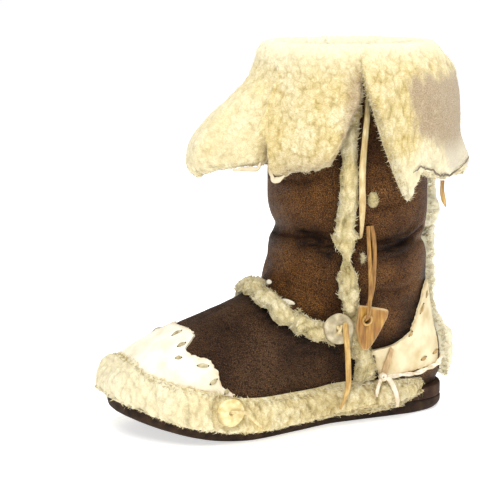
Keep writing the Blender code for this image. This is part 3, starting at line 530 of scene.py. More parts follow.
def locks_shape(roots, normals, comb, ways, length, thickness, wool, wear, seed, steps):
    """Small tapered locks on roots. comb is the way the fleece lies, ways leads to the crowns."""
    count = len(roots)
    luck = np.random.default_rng(seed).random((count, 6))
    stray = unit(luck[:, :3] - 0.5)
    pull = ways / (wool.curl * MM)
    heading = unit(normals + comb * wool.lean + pull * wool.gather + stray * LOCK_SCATTER)
    side = unit(np.cross(heading, stray))
    roll = unit(np.cross(side, heading))
    share = np.linspace(0, 1, steps)
    run = share[None, :, None]
    long = (length * (0.6 + 0.8 * luck[:, 3]))[:, None, None]
    centres = roots[:, None] + long * (
        heading[:, None] * (run - 0.5 * wool.roll * run**2) + roll[:, None] * wool.roll * run**2
    )
    taper = 1 - 0.85 * share**2
    radius = (thickness * (0.7 + 0.6 * luck[:, 4]) / 2)[:, None, None] * taper[None, :, None]
    across = np.broadcast_to(side[:, None], centres.shape)
    up = np.cross(unit(np.gradient(centres, axis=1)), across)
    marks = np.empty((count, steps, 3))
    marks[..., 0] = np.linspace(0.5, 0.85, steps)[None]
    marks[..., 1] = np.broadcast_to(wear, count)[:, None]
    marks[..., 2] = luck[:, 5:6]
    return swept_shape(centres, across, up, circle(3) * radius[..., None], marks, start=False)


def border_distance(grid, wrap=False):
    """Distance of a grid's points from its nearest border."""
    down, along = run_along(grid), run_along(grid.transpose(1, 0, 2)).T
    near = np.minimum(down, down[-1:] - down)
    return near if wrap else np.minimum(near, np.minimum(along, along[:, -1:] - along))


def wool_bed(outer, normals, wool, seed, cut):
    """The grid of a fleece's bed of curls, and how high each point stands on its curl."""
    curl, depth = wool.curl * MM, wool.depth * MM
    spots = outer * np.array([1, 1, 1 / wool.stretch])
    rise = 0.68 * cells_at(spots, curl, seed)[0] + 0.32 * cells_at(spots, 0.5 * curl, seed + 1)[0]
    clump = noise_at(spots, 2.4 * curl, seed)
    dips = ((rise - 0.75) + 0.35 * clump) * depth * cut
    height = np.clip(1.2 * rise - 0.05 + 0.12 * clump, 0, 1)
    return outer + normals * np.minimum(dips, 0.5 * depth)[..., None], 1 - (1 - height) * (0.4 + 0.6 * cut)


def skirted(bed, marks, inner, wrap):
    """A bed and its marks, closed onto the inner grid at its borders."""
    rows, columns = bed.shape[:2]
    bed, marks = np.concatenate([inner[:1], bed, inner[-1:]]), marks[[0, *range(rows), -1]]
    if not wrap:
        sides = np.concatenate([inner[:1], inner, inner[-1:]])
        bed = np.concatenate([sides[:, :1], bed, sides[:, -1:]], 1)
        marks = marks[:, [0, *range(columns), -1]]
    return bed, marks


def wool_shapes(outer, inner, wool, values, own, comb=DOWN, cut=1, wear=0, pale=0, edge=0, wrap=False):
    """A fleece between two grids: a bed of curls that closes onto the inner grid at its borders, with
    locks and hairs on it. values are the wool settings and own the fleece's own number. comb is the
    way it lies, cut the share of the full length left at each place, wear the share rubbed to a duller
    nap, which on some fleeces is painted shade instead, pale the share painted paler, partly bleached
    and partly a painted highlight, and edge the width over which its border is rounded."""
    seed = values.seed + own
    stand = outer - inner
    normals = grid_normals(outer, stand)
    near = border_distance(outer, wrap)
    rounded = np.any(edge)
    if rounded:
        full = np.sqrt(1 - (1 - np.clip(near / edge, 0, 1)) ** 2)
        outer = inner + stand * full[..., None]
    cut, wear = (np.broadcast_to(value, near.shape) for value in (cut, wear))
    comb = np.broadcast_to(comb, outer.shape)
    bed, height = wool_bed(outer, normals, wool, seed, cut)
    marks = marks_of(near.shape, height, wear, 0.6 + 0.4 * pale).reshape(*near.shape, 3)
    skirt, tones = (bed, marks) if rounded else skirted(bed, marks, inner, wrap)
    shapes = [surface_shape(skirt, tones.reshape(-1, 3), wrap)]
    squeeze = np.array([1, 1, 1 / wool.stretch])
    for turn, (count, reach, long, thick, steps) in enumerate((
        (wool.fringe, wool.fringe_width * MM, wool.length * MM, wool.thickness * MM, 3),
        (wool.locks, None, wool.length * MM, wool.thickness * MM, 3),
        (wool.hairs, None, HAIR_LENGTH, HAIR_THICKNESS, 2),
    ), 1):
        count = int(count * values.fullness)
        if not count:
            continue
        place = scattered(outer, count * (8 if reach else 1), seed + turn)
        if reach:
            kept = np.flatnonzero(at_places(near, *place) < reach)
            kept = kept[np.linspace(0, len(kept) - 1, min(count, len(kept))).astype(int)]
            place = tuple(part[kept] for part in place)
        _, ways = cells_at(at_places(bed, *place) * squeeze, wool.curl * MM, seed)
        left, upright = at_places(cut, *place), at_places(normals, *place)
        shapes.append(locks_shape(
            at_places(bed, *place) - upright * LOCK_SUNK * long, upright, at_places(comb, *place), ways,
            long * left, thick * (0.5 + 0.5 * left), wool, at_places(wear, *place), seed + 10 * turn, steps,
        ))
    return shapes


# ---- materials ----
HEIGHT, WEAR_AND_LIGHT, LUCK = range(3)  # the sockets of a piece's marks
TINT = {"data_type": "RGBA", "blend_type": "MULTIPLY"}
BLEND = {"data_type": "RGBA"}
STRAND_BAND = 0.36  # a diagonal wave's own length at a scale of 1


def linear(code):
    """Linear colour of an sRGB hex code."""
    parts = [int(code[i : i + 2], 16) / 255 for i in (1, 3, 5)]
    return [c / 12.92 if c <= 0.04045 else ((c + 0.055) / 1.055) ** 2.4 for c in parts] + [1]


def set_inputs(node, inputs):
    """Sets a node's inputs: a socket is linked, an sRGB code is a colour, and the rest are values."""
    sockets = [socket for socket in node.inputs if socket.enabled]
    for key, value in dict(inputs).items():
        socket = node.inputs[key] if isinstance(key, str) else sockets[key]
        if isinstance(value, bpy.types.NodeSocket):
            node.id_data.links.new(value, socket)
        else:
            socket.default_value = linear(value) if isinstance(value, str) else value


def add_node(tree, kind, inputs=(), stops=(), **settings):
    """A node with its settings, its inputs and its ramp's stops. Gives the node's output."""
    node = tree.nodes.new("ShaderNode" + kind)
    for name, value in settings.items():
        setattr(node, name, value)
    set_inputs(node, inputs)
    for i, (place, colour) in enumerate(stops):
        if i >= 2:
            node.color_ramp.elements.new(place)
        element = node.color_ramp.elements[i]
        element.position = place
        element.color = linear(colour) if isinstance(colour, str) else (colour, colour, colour, 1)
    return next(socket for socket in node.outputs if socket.enabled)


def new_material(name):
    """A material, a function that adds to its tree, the sockets of a piece's marks and its place."""
    made = bpy.data.materials.new(name)
    made.use_nodes = True
    add = partial(add_node, made.node_tree)
    marks = add("Attribute", attribute_name="marks").node.outputs["Vector"]
    marks = add("SeparateXYZ", {0: marks}).node.outputs
    return made, add, marks, add("TexCoord").node.outputs["Object"]


def sized(place, size, detail=2.0):
    """A pattern's inputs: its place, the size of its features in millimetres and its detail."""
    return {"Vector": place, "Scale": 1 / (size * MM), "Detail": detail}


def finished(made, add, inputs, bumps=()):
    """Sets the shader's inputs, and its relief from bumps: (height, depth in millimetres, strength)."""
    for height, depth, strength in bumps:
        bump = {"Height": height, "Distance": depth * MM, "Strength": strength}
        if "Normal" in inputs:
            bump["Normal"] = inputs["Normal"]
        inputs["Normal"] = add("Bump", bump)
    set_inputs(made.node_tree.nodes["Principled BSDF"], inputs)
    return made


def wool_material(name, deep, middle, tip, worn, sheen):
    """Natural cream fleece: fine crimped fibres, yellower down by the skin and painted darker there as
    shade.
    """
    made, add, marks, place = new_material(name)
    # Deep in the crevices and at the roots of the locks the colour is darker: partly the wool's own
    # yellowing, partly painted shade.
    colour = add("ValToRGB", {0: marks[HEIGHT]}, [(0.1, deep), (0.5, middle), (0.92, tip)])
    patches = add("TexNoise", sized(place, 24, 3))
    warm = add("ValToRGB", {0: patches}, [(0.35, "#ffffff"), (0.7, "#f4ecd0")])
    colour = add("Mix", {0: 1.0, 1: colour, 2: warm}, **TINT)
    locks = add("ValToRGB", {0: marks[LUCK]}, [(0, "#ebe5d4"), (0.6, "#ffffff")])
    colour = add("Mix", {0: 0.6, 1: colour, 2: locks}, **TINT)
    # Paler where the mark asks: on random locks, and on a fleece's bed partly bleached wool and partly a
    # painted highlight.
    pale_and_lit = add("ValToRGB", {0: marks[LUCK]}, [(0.62, 0.0), (1.0, 0.7)])
    fibres = add("TexNoise", sized(place, 0.8, 4))
    # Rubbed places turn to a duller, browner nap; some fleeces use this to paint shade.
    nap = add("ValToRGB", {0: fibres}, [(0.3, "#b9b0a8"), (0.62, "#ffffff")])
    nap = add("Mix", {0: 1.0, 1: nap, 2: worn}, **TINT)
    colour = add("Mix", {0: marks[WEAR_AND_LIGHT], 1: colour, 2: nap}, **BLEND)
    # Curled strands about 2.8 mm apart and fibres, both drawn coarser than real to show.
    strands = sized(place, 2.8 / STRAND_BAND, 1.5) | {"Distortion": 24, "Detail Scale": 1.4}
    strands = add("TexWave", strands, bands_direction="DIAGONAL").node.outputs["Fac"]
    # The partings between the strands are painted darker as shade.
    parting_shade = add("ValToRGB", {0: strands}, [(0.1, "#d3c296"), (0.75, "#ffffff")])
    colour = add("Mix", {0: 0.4, 1: colour, 2: parting_shade}, **TINT)
    colour = add("Mix", {0: pale_and_lit, 1: colour, 2: "#f4eed4"}, **BLEND)
    inputs = {
        "Base Color": colour, "Roughness": 0.95, "Specular IOR Level": 0.1,
        "Sheen Weight": sheen, "Sheen Roughness": 0.6,
        "Subsurface Weight": 0.35, "Subsurface Radius": (1.0, 0.9, 0.7), "Subsurface Scale": 2.2 * MM,
    }
    return finished(made, add, inputs, [(strands, 0.8, 0.4), (fibres, 0.3, 0.45)])


@cache
def shearling():
    """Lambskin wool as it grew, washed and fluffed."""
    return wool_material("shearling wool", "#b3a26d", "#d5c698", "#e7ddb8", "#bba78c", 0.15)


@cache
def rand_wool():
    """Longer lambskin wool low on the boot, painted darker down in its partings as shade."""
    return wool_material("rand wool", "#9a8b5c", "#cfc093", "#e8dfbb", "#857254", 0.12)


@cache
def cut_wool():
    """Strips of the same skin, trodden and handled, so duller."""
    return wool_material("strip wool", "#93865c", "#c6b98e", "#e0d6b3", "#857254", 0.08)


@cache
def brown_hide():
    """Nappa-finished sheep leather: pebbled grain, dyed dark and rubbed bronze where it bulges. The
    bronze is partly a painted highlight, and the dark by folds, seams and the cuff partly painted shade.
    """
    made, add, marks, place = new_material("brown nappa")
    rubbed_and_lit, red = marks[WEAR_AND_LIGHT], marks[LUCK]
    broad = add("TexNoise", sized(place, 30, 4))
    mottle = add("TexNoise", sized(place, 6, 5))
    speck = add("TexNoise", sized(place, 1.3, 3))
    dark = add("Mix", {0: red, 1: "#4a3424", 2: "#42280f"}, **BLEND)
    bright = add("Mix", {0: red, 1: "#9a734e", 2: "#b67d42"}, **BLEND)
    uneven = add("ValToRGB", {0: mottle}, [(0.32, 0.84), (0.62, 1.0)])
    flecked = add("ValToRGB", {0: speck}, [(0.34, 0.68), (0.66, 0.88)])
    # The bronze follows the wear mark: partly rubbed hide, partly a painted highlight.
    amount = add("Math", {0: rubbed_and_lit, 1: uneven}, operation="MULTIPLY")
    amount = add("Math", {0: amount, 1: flecked}, operation="MULTIPLY", use_clamp=True)
    colour = add("Mix", {0: amount, 1: dark, 2: bright}, **BLEND)
    cloud = add("ValToRGB", {0: broad}, [(0.32, "#a69891"), (0.62, "#ffffff")])
    colour = add("Mix", {0: 0.85, 1: colour, 2: cloud}, **TINT)
    # Fold troughs painted darker as shade.
    crease_shade = add("ValToRGB", {0: marks[HEIGHT]}, [(0.1, "#c9bcb0"), (0.5, "#ffffff")])
    colour = add("Mix", {0: 0.9, 1: colour, 2: crease_shade}, **TINT)
    # Pebbles of 1.3 mm, bent so that no cell is regular, with dye left in the furrows.
    drift = add("TexNoise", sized(place, 2)).node.outputs["Color"]
    bent = add("VectorMath", {0: drift, 1: (0.7 * MM,) * 3, 2: place}, operation="MULTIPLY_ADD")
    pebble = sized(bent, 1.3, 0) | {"Randomness": 0.9}
    pebble = add("TexVoronoi", pebble, feature="DISTANCE_TO_EDGE")
    furrow = add("ValToRGB", {0: pebble}, [(0.02, "#2a1c14"), (0.3, "#ffffff")])
    colour = add("Mix", {0: 0.95, 1: colour, 2: furrow}, **TINT)
    # Fine wrinkles that run round the leg wherever the hide gathers and isn't rubbed.
    long_way = add("Mapping", {"Vector": place, "Scale": (0.28, 0.28, 1)})
    wrinkle = add("TexNoise", sized(long_way, 2.4))
    slack = add("ValToRGB", {0: rubbed_and_lit}, [(0.05, 1.0), (0.33, 0.0)])
    gathered = add("Math", {0: wrinkle, 1: slack}, operation="MULTIPLY")
    # The wrinkle lines painted darker as shade.
    line = add("ValToRGB", {0: wrinkle}, [(0.42, "#574940"), (0.55, "#ffffff")])
    colour = add("Mix", {0: slack, 1: colour, 2: line}, **TINT)
    flat = add("ValToRGB", {0: pebble}, [(0.0, 0.0), (0.3, 1.0)])
    shine = add("ValToRGB", {0: mottle}, [(0.3, 0.62), (0.7, 0.42)])
    inputs = {"Base Color": colour, "Roughness": shine, "Specular IOR Level": 0.12}
    return finished(made, add, inputs, [(mottle, 0.8, 0.5), (gathered, 1.6, 0.8), (flat, 0.4, 1.0)])


@cache
def rawhide(name, dusk, day):
    """White-tanned hide: matt, faintly creased, handled, with torn edges of a tan colour."""
    made, add, marks, place = new_material(name)
    clouds = add("TexNoise", sized(place, 16, 5))
    creases = add("TexNoise", sized(place, 6, 5))
    pores = add("TexNoise", sized(place, 0.7))
    colour = add("ValToRGB", {0: clouds}, [(0.3, dusk), (0.6, day)])
    colour = add("Mix", {0: marks[WEAR_AND_LIGHT], 1: colour, 2: "#b08d58"}, **BLEND)
    inputs = {"Base Color": colour, "Roughness": 0.75}
    return finished(made, add, inputs, [(creases, 0.8, 0.5), (pores, 0.15, 0.6)])


@cache
def flesh_side():
    """Napped flesh side of the cuff's skin, dusty brown, with a pale cut edge."""
    made, add, marks, place = new_material("suede side")
    clouds = add("TexNoise", sized(place, 9, 4))
    nap = add("TexNoise", sized(place, 0.8, 3))
    colour = add("ValToRGB", {0: clouds}, [(0.3, "#33241b"), (0.7, "#4b3527")])
    colour = add("Mix", {0: marks[WEAR_AND_LIGHT], 1: colour, 2: "#d8cdb6"}, **BLEND)
    inputs = {"Base Color": colour, "Roughness": 0.9, "Specular IOR Level": 0.2}
    return finished(made, add, inputs, [(nap, 0.3, 0.7)])


@cache
def rubber(name, dark, light, step):
    """Moulded foam rubber: fine pores, faint layers a step deep, dusty."""
    made, add, _, place = new_material(name)
    dust = add("TexNoise", sized(place, 7, 5))
    pores = add("TexNoise", sized(place, 0.6))
    level = add("Mapping", {"Vector": place, "Scale": (0.08, 0.08, 1)})
    layers = add("TexNoise", sized(level, 3))
    colour = add("ValToRGB", {0: dust}, [(0.35, dark), (0.75, light)])
    inputs = {"Base Color": colour, "Roughness": 0.8, "Specular IOR Level": 0.2}
    return finished(made, add, inputs, [(layers, step, 0.5), (pores, 0.2, 0.7)])


@cache
def thong_hide(name, pale, deep):
    """Rawhide thong cut by knife: streaked along its length, darker at its edges."""
    made, add, marks, place = new_material(name)
    upright = add("Mapping", {"Vector": place, "Scale": (1, 1, 0.14)})
    streaks = add("TexNoise", sized(upright, 1.6, 4))
    blotches = add("TexNoise", sized(place, 9, 3))
    colour = add("ValToRGB", {0: streaks}, [(0.3, deep), (0.62, pale)])
    tone = add("ValToRGB", {0: blotches}, [(0.3, "#d0b88c"), (0.6, "#ffffff")])
    colour = add("Mix", {0: 0.6, 1: colour, 2: tone}, **TINT)
    colour = add("Mix", {0: marks[WEAR_AND_LIGHT], 1: colour, 2: "#8a5a2c"}, **BLEND)
    return finished(made, add, {"Base Color": colour, "Roughness": 0.6}, [(streaks, 0.4, 0.7)])


@cache
def bone(name, deep, middle, pale):
    """Sawn bone or pale horn, polished by hand: cloudy, with short pores."""
    made, add, marks, place = new_material(name)
    clouds = add("TexNoise", sized(place, 6, 5))
    upright = add("Mapping", {"Vector": place, "Scale": (1, 1, 0.33)})
    pores = add("TexNoise", sized(upright, 0.8))
    colour = add("ValToRGB", {0: clouds}, [(0.3, deep), (0.5, middle), (0.68, pale)])
    # The wear mark darkens it: on the buttons, painted shade along one side of the rim.
    colour = add("Mix", {0: marks[WEAR_AND_LIGHT], 1: colour, 2: "#7d6440"}, **BLEND)
    return finished(made, add, {"Base Color": colour, "Roughness": 0.4}, [(pores, 0.2, 0.6)])


@cache
def horn():
    """A slice of brown horn: layers run down it, the sawn top paler, partly as a painted highlight."""
    made, add, marks, place = new_material("brown horn")
    upright = add("Mapping", {"Vector": place, "Rotation": (0, 0.6, 0), "Scale": (1, 1, 0.11)})
    layers = add("TexNoise", sized(upright, 2.2, 4))
    clouds = add("TexNoise", sized(place, 10))
    colour = add("ValToRGB", {0: layers}, [(0.3, "#7a5214"), (0.5, "#a37529"), (0.72, "#c69a48")])
    tone = add("ValToRGB", {0: clouds}, [(0.35, "#c89a60"), (0.65, "#ffffff")])
    colour = add("Mix", {0: 0.5, 1: colour, 2: tone}, **TINT)
    colour = add("Mix", {0: marks[WEAR_AND_LIGHT], 1: colour, 2: "#ecd2a0"}, **BLEND)
    return finished(made, add, {"Base Color": colour, "Roughness": 0.42}, [(layers, 0.3, 0.6)])


@cache
def dark_hole():
    """The shadow inside an awl hole."""
    made, add, _, place = new_material("awl hole")
    tone = add("ValToRGB", {0: add("TexNoise", sized(place, 1))}, [(0.3, "#120c08"), (0.7, "#2a1d14")])
    return finished(made, add, {"Base Color": tone, "Roughness": 0.95, "Specular IOR Level": 0.1})


@cache
def paper_floor():
    """White paper that glows a little, so that it stays pale."""
    made, add, _, place = new_material("white paper")
    colour = add("ValToRGB", {0: add("TexNoise", sized(place, 40, 3))}, [(0.3, "#fafafa"), (0.7, "#ffffff")])
    inputs = {"Base Color": colour, "Roughness": 0.8, "Specular IOR Level": 0.1}
    return finished(made, add, inputs | {"Emission Color": "#ffffff", "Emission Strength": PAPER_GLOW})


# ---- settings ----
class BootWool(bpy.types.PropertyGroup):
    fullness: bpy.props.FloatProperty(
        name="Fullness", description="Share of the locks that stand on every fleece",
        default=1.0, min=0.1, max=1.0,
    )
    seed: bpy.props.IntProperty(name="Seed", description="Which locks stray", default=4, min=0)


class BootHide(bpy.types.PropertyGroup):
    crease: bpy.props.FloatProperty(
        name="Crease depth", description="Share of their full depth to which the folds sink", default=1.0
    )


class BootStage(bpy.types.PropertyGroup):
    distance: bpy.props.FloatProperty(
        name="Distance", description="From the camera to the boot",
        default=1.4, unit="LENGTH", subtype="DISTANCE",
    )


# ---- upper ----
# Folds of the hide: depth and width in millimetres, then (ring share, angle in degrees) along it.
FOLDS = (
    (1.6, 5.0, ((0.628, -60), (0.64, -30), (0.646, -8), (0.655, 12), (0.664, 30), (0.66, 46), (0.652, 58))),
    (1.6, 3.2, ((0.612, 20), (0.628, 36), (0.634, 50), (0.626, 58))),
    (1.4, 3.0, ((0.69, 14), (0.686, 32), (0.676, 48))),
    (1.0, 2.6, ((0.604, 38), (0.6, 50), (0.59, 57))),
    (2.1, 3.6, ((0.612, 72), (0.616, 84), (0.634, 96), (0.664, 108), (0.7, 120), (0.738, 131), (0.76, 142))),
    (1.3, 3.4, ((0.66, 74), (0.668, 86), (0.69, 98), (0.72, 110), (0.76, 120))),
    (0.9, 3.4, ((0.585, 84), (0.594, 96), (0.61, 108), (0.64, 120))),
    (1.1, 2.6, ((0.8, 76), (0.792, 88), (0.8, 102), (0.822, 116))),
    (1.2, 3.0, ((0.84, -20), (0.832, 6), (0.836, 30), (0.85, 52))),
    (0.6, 4.0, ((0.535, 20), (0.52, 36), (0.505, 52), (0.49, 66))),
    (0.6, 4.0, ((0.5, 16), (0.475, 34), (0.455, 54), (0.44, 70))),
    (1.0, 4.4, ((0.48, 84), (0.47, 98), (0.48, 112), (0.51, 124))),
    (0.7, 4.0, ((0.42, 90), (0.405, 102), (0.4, 114), (0.41, 126))),
    (1.0, 5.0, ((0.33, 8), (0.318, 22), (0.296, 36), (0.27, 50))),
    (0.8, 4.0, ((0.4, 14), (0.38, 32), (0.345, 48), (0.32, 60))),
    (0.9, 4.5, ((0.25, 68), (0.24, 80), (0.225, 92))),
    (3.2, 4.2, ((0.64, -60), (0.65, -80), (0.664, -100), (0.7, -120), (0.74, -134))),
    (1.4, 3.2, ((0.6, -64), (0.606, -84), (0.62, -104), (0.65, -122))),
    (1.2, 3.0, ((0.82, -40), (0.812, -64), (0.816, -90), (0.83, -116))),
    (1.4, 3.4, ((0.51, -30), (0.49, -54), (0.48, -80), (0.5, -110))),
)
# Seams, beside which the hide stays dark, partly dye never rubbed and partly painted shade: (ring
# share, angle in degrees) along them.
BAND_SEAM = ((0.432, 0), (0.43, 8), (0.403, 30), (0.347, 57), (0.315, 76), (0.288, 90))
SEAMS = (
    (
        (0.893, 64), (0.76, 62), (0.64, 62), (0.56, 64), (0.47, 73), (0.37, 88), (0.27, 101),
        (0.14, 108),
    ),
    BAND_SEAM,
    [(ring, -angle) for ring, angle in BAND_SEAM],
    ((0.03, 180), (0.225, 168), (0.42, 168), (0.68, 167), (0.9, 166)),
    ((0.5, 145), (0.38, 131), (0.25, 124), (0.217, 112), (0.14, 118)),
)
HIDE_ROWS, HIDE_COLUMNS = 210, 250
LINING_ROWS, LINING_COLUMNS = 110, 131
FOLD_WAVER, SEAM_REACH = 1.6 * MM, 15 * MM
# Where the shaft's panels start, over the band and behind the side strips.
SHAFT_FOOT = table(
    "angle_deg at_ring", (0, 0.43), (30, 0.4), (57, 0.35), (90, 0.29), (102, 0.2), (120, 0.05)
)


def near_line(points, line, samples=40):
    """Distance of points from a line on the upper, and the share along it of the nearest place."""
    rings, angles = refined(line, samples).T
    path = upper_surface(rings, np.radians(angles))
    best, share = np.full(points.shape[:-1], 1e9), np.zeros(points.shape[:-1])
    for i, place in enumerate(path):
        distance = np.linalg.norm(points - place, axis=-1)
        closer = distance < best
        best[closer], share[closer] = distance[closer], i / (samples - 1)
    return best, share


def folds_at(skin, depth):
    """How far the folds lift the hide at each point, how calm it lies there, and how much painted shade
    falls in the troughs.
    """
    lift, calm, crease_shade = (np.full(skin.shape[:2], value) for value in (0.0, 1.0, 0.0))
    waver = FOLD_WAVER * noise_at(skin, 14 * MM, 5)
    for deep, wide, line in FOLDS:
        wide = wide * MM
        distance, share = near_line(skin, line)
        fade = np.sqrt(np.clip(np.sin(share * math.pi), 0, 1))
        distance = np.abs(distance + waver * np.clip(distance / (2 * wide), 0, 1))
        trough = bell(distance, 0.55 * wide) * fade
        ridge = bell(distance - 1.5 * wide, 0.9 * wide) * fade
        lift += depth * deep * MM * (0.42 * ridge - trough)
        # Less rub near a fold: the hide there is painted darker, partly as shade.
        calm *= 1 - np.clip(deep / 2.4, 0, 1) * bell(distance, 3.4 * wide) * fade
        crease_shade += 0.5 * trough * min(1, deep / 2)
    for line in SEAMS:
        calm *= 1 - 0.9 * bell(near_line(skin, line)[0], SEAM_REACH)
    return lift, calm, crease_shade


def make_hide(depth):
    rings, angles = np.meshgrid(
        np.linspace(0, 1, HIDE_ROWS), np.linspace(0, TURN, HIDE_COLUMNS, endpoint=False), indexing="ij"
    )
    skin, normals = upper_surface(rings, angles), upper_normal(rings, angles)
    lift, calm, crease_shade = folds_at(skin, depth)
    offset = 0.5 * MM * noise_at(skin, 30 * MM, 1) + 0.3 * MM * noise_at(skin, 11 * MM, 2) + lift
    foot = look_up(SHAFT_FOOT, np.minimum(angles, TURN - angles), "at_ring")
    shaft = ramp(rings, foot - 0.03, foot + 0.04)
    # The bronze rub, partly a painted highlight, is weaker on the foot, darker by folds and seams partly as
    # painted shade, and painted shadow under the cuff from 200 to 250 mm up.
    worn = calm * (0.42 + 0.58 * shaft) * (1 - 0.45 * ramp(skin[..., 2], 200 * MM, 250 * MM))
    outer = skin + normals * offset[..., None]
    rims = [upper_point(rings[end], angles[end], -WALL)[None] for end in (0, -1)]
    wall = np.concatenate([rims[0], outer, rims[1]])
    wall[:2, :, 2] = skin[0, :, 2]
    wall[-1, :, 2] = skin[-1, :, 2]
    # Low in the fold troughs, where the hide is painted darker as shade.
    height = np.clip(0.62 - crease_shade + offset / (5 * MM), 0, 1)
    marks = marks_of(worn.shape, height, worn, 0.15 + 0.85 * shaft).reshape(*worn.shape, 3)
    marks = np.concatenate([marks[:1], marks, marks[-1:]]).reshape(-1, 3)
    shape = surface_shape(wall, marks, wrap=True)
    add_piece("upper_hide", [shape], brown_hide(), ["upper"])


def make_lining(values):
    rings, angles = np.linspace(0, 1, LINING_ROWS), np.linspace(0, TURN, LINING_COLUMNS)
    rings, angles = np.meshgrid(rings, angles, indexing="ij")
    skin = upper_point(rings, angles, -WALL + 1.5 * MM)
    wool = upper_point(rings, angles, -WALL - 0.5 * MM)
    skin[0, :, 2] = wool[0, :, 2] = sole_top(wool[0, :, 0]) + GAP
    fleece = Wool(5, 2, locks=900, length=5, thickness=2.2, lean=0.7)
    shapes = wool_shapes(wool, skin, fleece, values, 1, cut=0.35 + 0.65 * ramp(rings, 0.8, 0.92))
    add_piece("upper_lining", shapes, shearling(), ["upper"])


# ---- sole ----
SOLE_CORNERS, SOLE_LEVELS = 240, 16
WEDGE_CORNERS, WEDGE_LEVELS = 160, 9
INSOLE_ROWS, INSOLE_CORNERS = 40, 120
SOLE_EDGE = table("height inset", (0, 3.2), (1.2, 1.2), (3.2, 0.4), (6, 0), (9.6, 0), (11, 0.6))
HEEL_BEVEL = 2.0
WEDGE_FRONT = 138 * MM
WEDGE_EDGE = table("share_ring inset", (0, 0.6), (0.15, 0), (0.85, 0), (1, 0.5))
INSOLE_THICKNESS = 4.5 * MM
INSOLE_CLEARANCE = 2.2 * MM


def make_outsole():
    angles = np.linspace(0, TURN, SOLE_CORNERS, endpoint=False)
    bevel = 1 + HEEL_BEVEL * (1 - ramp((1 + np.cos(angles)) / 2, 0.02, 0.16))
    loops = []
    for height, inset in zip(*spread(SOLE_EDGE, np.linspace(0, 1, SOLE_LEVELS), "height inset")):
        outline, outward = sole_outline(angles, (inset * bevel)[:, None])
        loop = raised(outline, floor_rise(outline[:, 0]) + height)
        outline = outline + outward * (0.35 * MM * noise_at(loop, 9 * MM, 3))[:, None]
        loops.append(raised(outline, loop[:, 2]))
    finish = rubber("sole rubber", "#21150d", "#43301f", 0.5)
    add_piece("outsole_rubber", [slab_shape(loops)], finish, ["outsole"], 40)


def make_wedge():
    front = math.acos(2 * WEDGE_FRONT / SOLE_LENGTH - 1)
    angles = np.linspace(front, TURN - front, WEDGE_CORNERS - 1)
    loops = []
    for share in np.linspace(0, 1, WEDGE_LEVELS):
        outline, _ = sole_outline(angles, look_up(WEDGE_EDGE, share, "inset"))
        outline = np.concatenate([[(outline[0] + outline[-1]) / 2], outline])
        low = floor_rise(outline[:, 0]) + SOLE_THICKNESS + GAP
        loops.append(raised(outline, low + (sole_top(outline[:, 0]) - low) * share))
    finish = rubber("wedge rubber", "#311f14", "#4d3523", 0.4)
    add_piece("wedge_rubber", [slab_shape(loops)], finish, ["heel_wedge"], 40)


def make_insole(values):
    angles = np.linspace(0, TURN, INSOLE_CORNERS + 1)
    edge = upper_point(0.02, angles, -WALL - INSOLE_CLEARANCE)[:, :2]
    middle = np.stack([edge[:, 0], np.full(len(edge), edge[:, 1].mean())], -1)
    share = (np.linspace(0, 1, INSOLE_ROWS) ** 0.8)[:, None, None]
    plan = middle + (edge - middle) * (1 - share * 0.999)
    low = raised(plan, sole_top(plan[..., 0]) + GAP)
    high = low - DOWN * INSOLE_THICKNESS
    fleece = Wool(5, 1.5, locks=500, length=3)
    shapes = wool_shapes(high, low, fleece, values, 2, comb=(1, 0, 0), edge=3 * MM, wrap=True)
    shapes.append(surface_shape(low, marks_of(low.shape[:2], 0.5), flip=True))
    add_piece("insole_wool", shapes, shearling(), ["insole"])


# ---- overlays of white-tanned hide ----
OVERLAY_GAP = 0.5 * MM
COUNTER_GAP = 0.8 * MM
CAP_EDGE = table(
    "angle_deg edge_ring",
    (0, 0.28), (10, 0.28), (19, 0.272), (24, 0.235), (31, 0.227), (38, 0.225), (43, 0.214),
    (48, 0.195), (53, 0.16), (59, 0.14),
)
CAP_SIDE = math.radians(59)
RAND_TOP = table(
    "angle_deg top_ring",
    (0, 0.17), (8, 0.16), (30, 0.148), (50, 0.142), (62, 0.127), (86, 0.12), (104, 0.118),
    (118, 0.096), (140, 0.06),
)
COUNTER = table(
    "at_ring front_deg rear_deg",
    (0.1, 117, 153), (0.125, 115.5, 155), (0.16, 114, 156), (0.195, 112, 156), (0.219, 109.5, 156),
    (0.23, 118, 156), (0.25, 124, 156), (0.283, 129, 156), (0.33, 130, 155), (0.38, 131, 154),
    (0.42, 134, 153), (0.462, 136, 151), (0.5, 142, 149),
)
# Stitches of the thong that holds an overlay: (ring share, angle in degrees, lean in degrees).
CAP_STITCHES = (
    (0.262, 3, 80), (0.242, 19, 70), (0.213, 25, 30), (0.207, 39, 10), (0.172, 48, 60), (0.148, 55, 75),
    (0.245, -16, 110), (0.21, -28, 150), (0.205, -41, 170), (0.165, -51, 120),
)
COUNTER_STITCHES = (
    (0.382, 135, 60), (0.268, 129, 50), (0.146, 140, 15), (0.16, 151, 10), (0.44, 142, 65),
)
STITCH_LENGTH, STITCH_WIDTH, STITCH_THICK, STITCH_STEPS = 7.5 * MM, 3.4 * MM, 1.2 * MM, 9
STITCH_LIFT, HOLE_OVAL = 0.2 * MM, np.array([0.6, 0.8]) * MM
CAP_ROWS, CAP_COLUMNS = 40, 150
COUNTER_ROWS, COUNTER_COLUMNS = 90, 40


def rand_top(angles):
    return look_up(RAND_TOP, np.abs(angles), "top_ring")


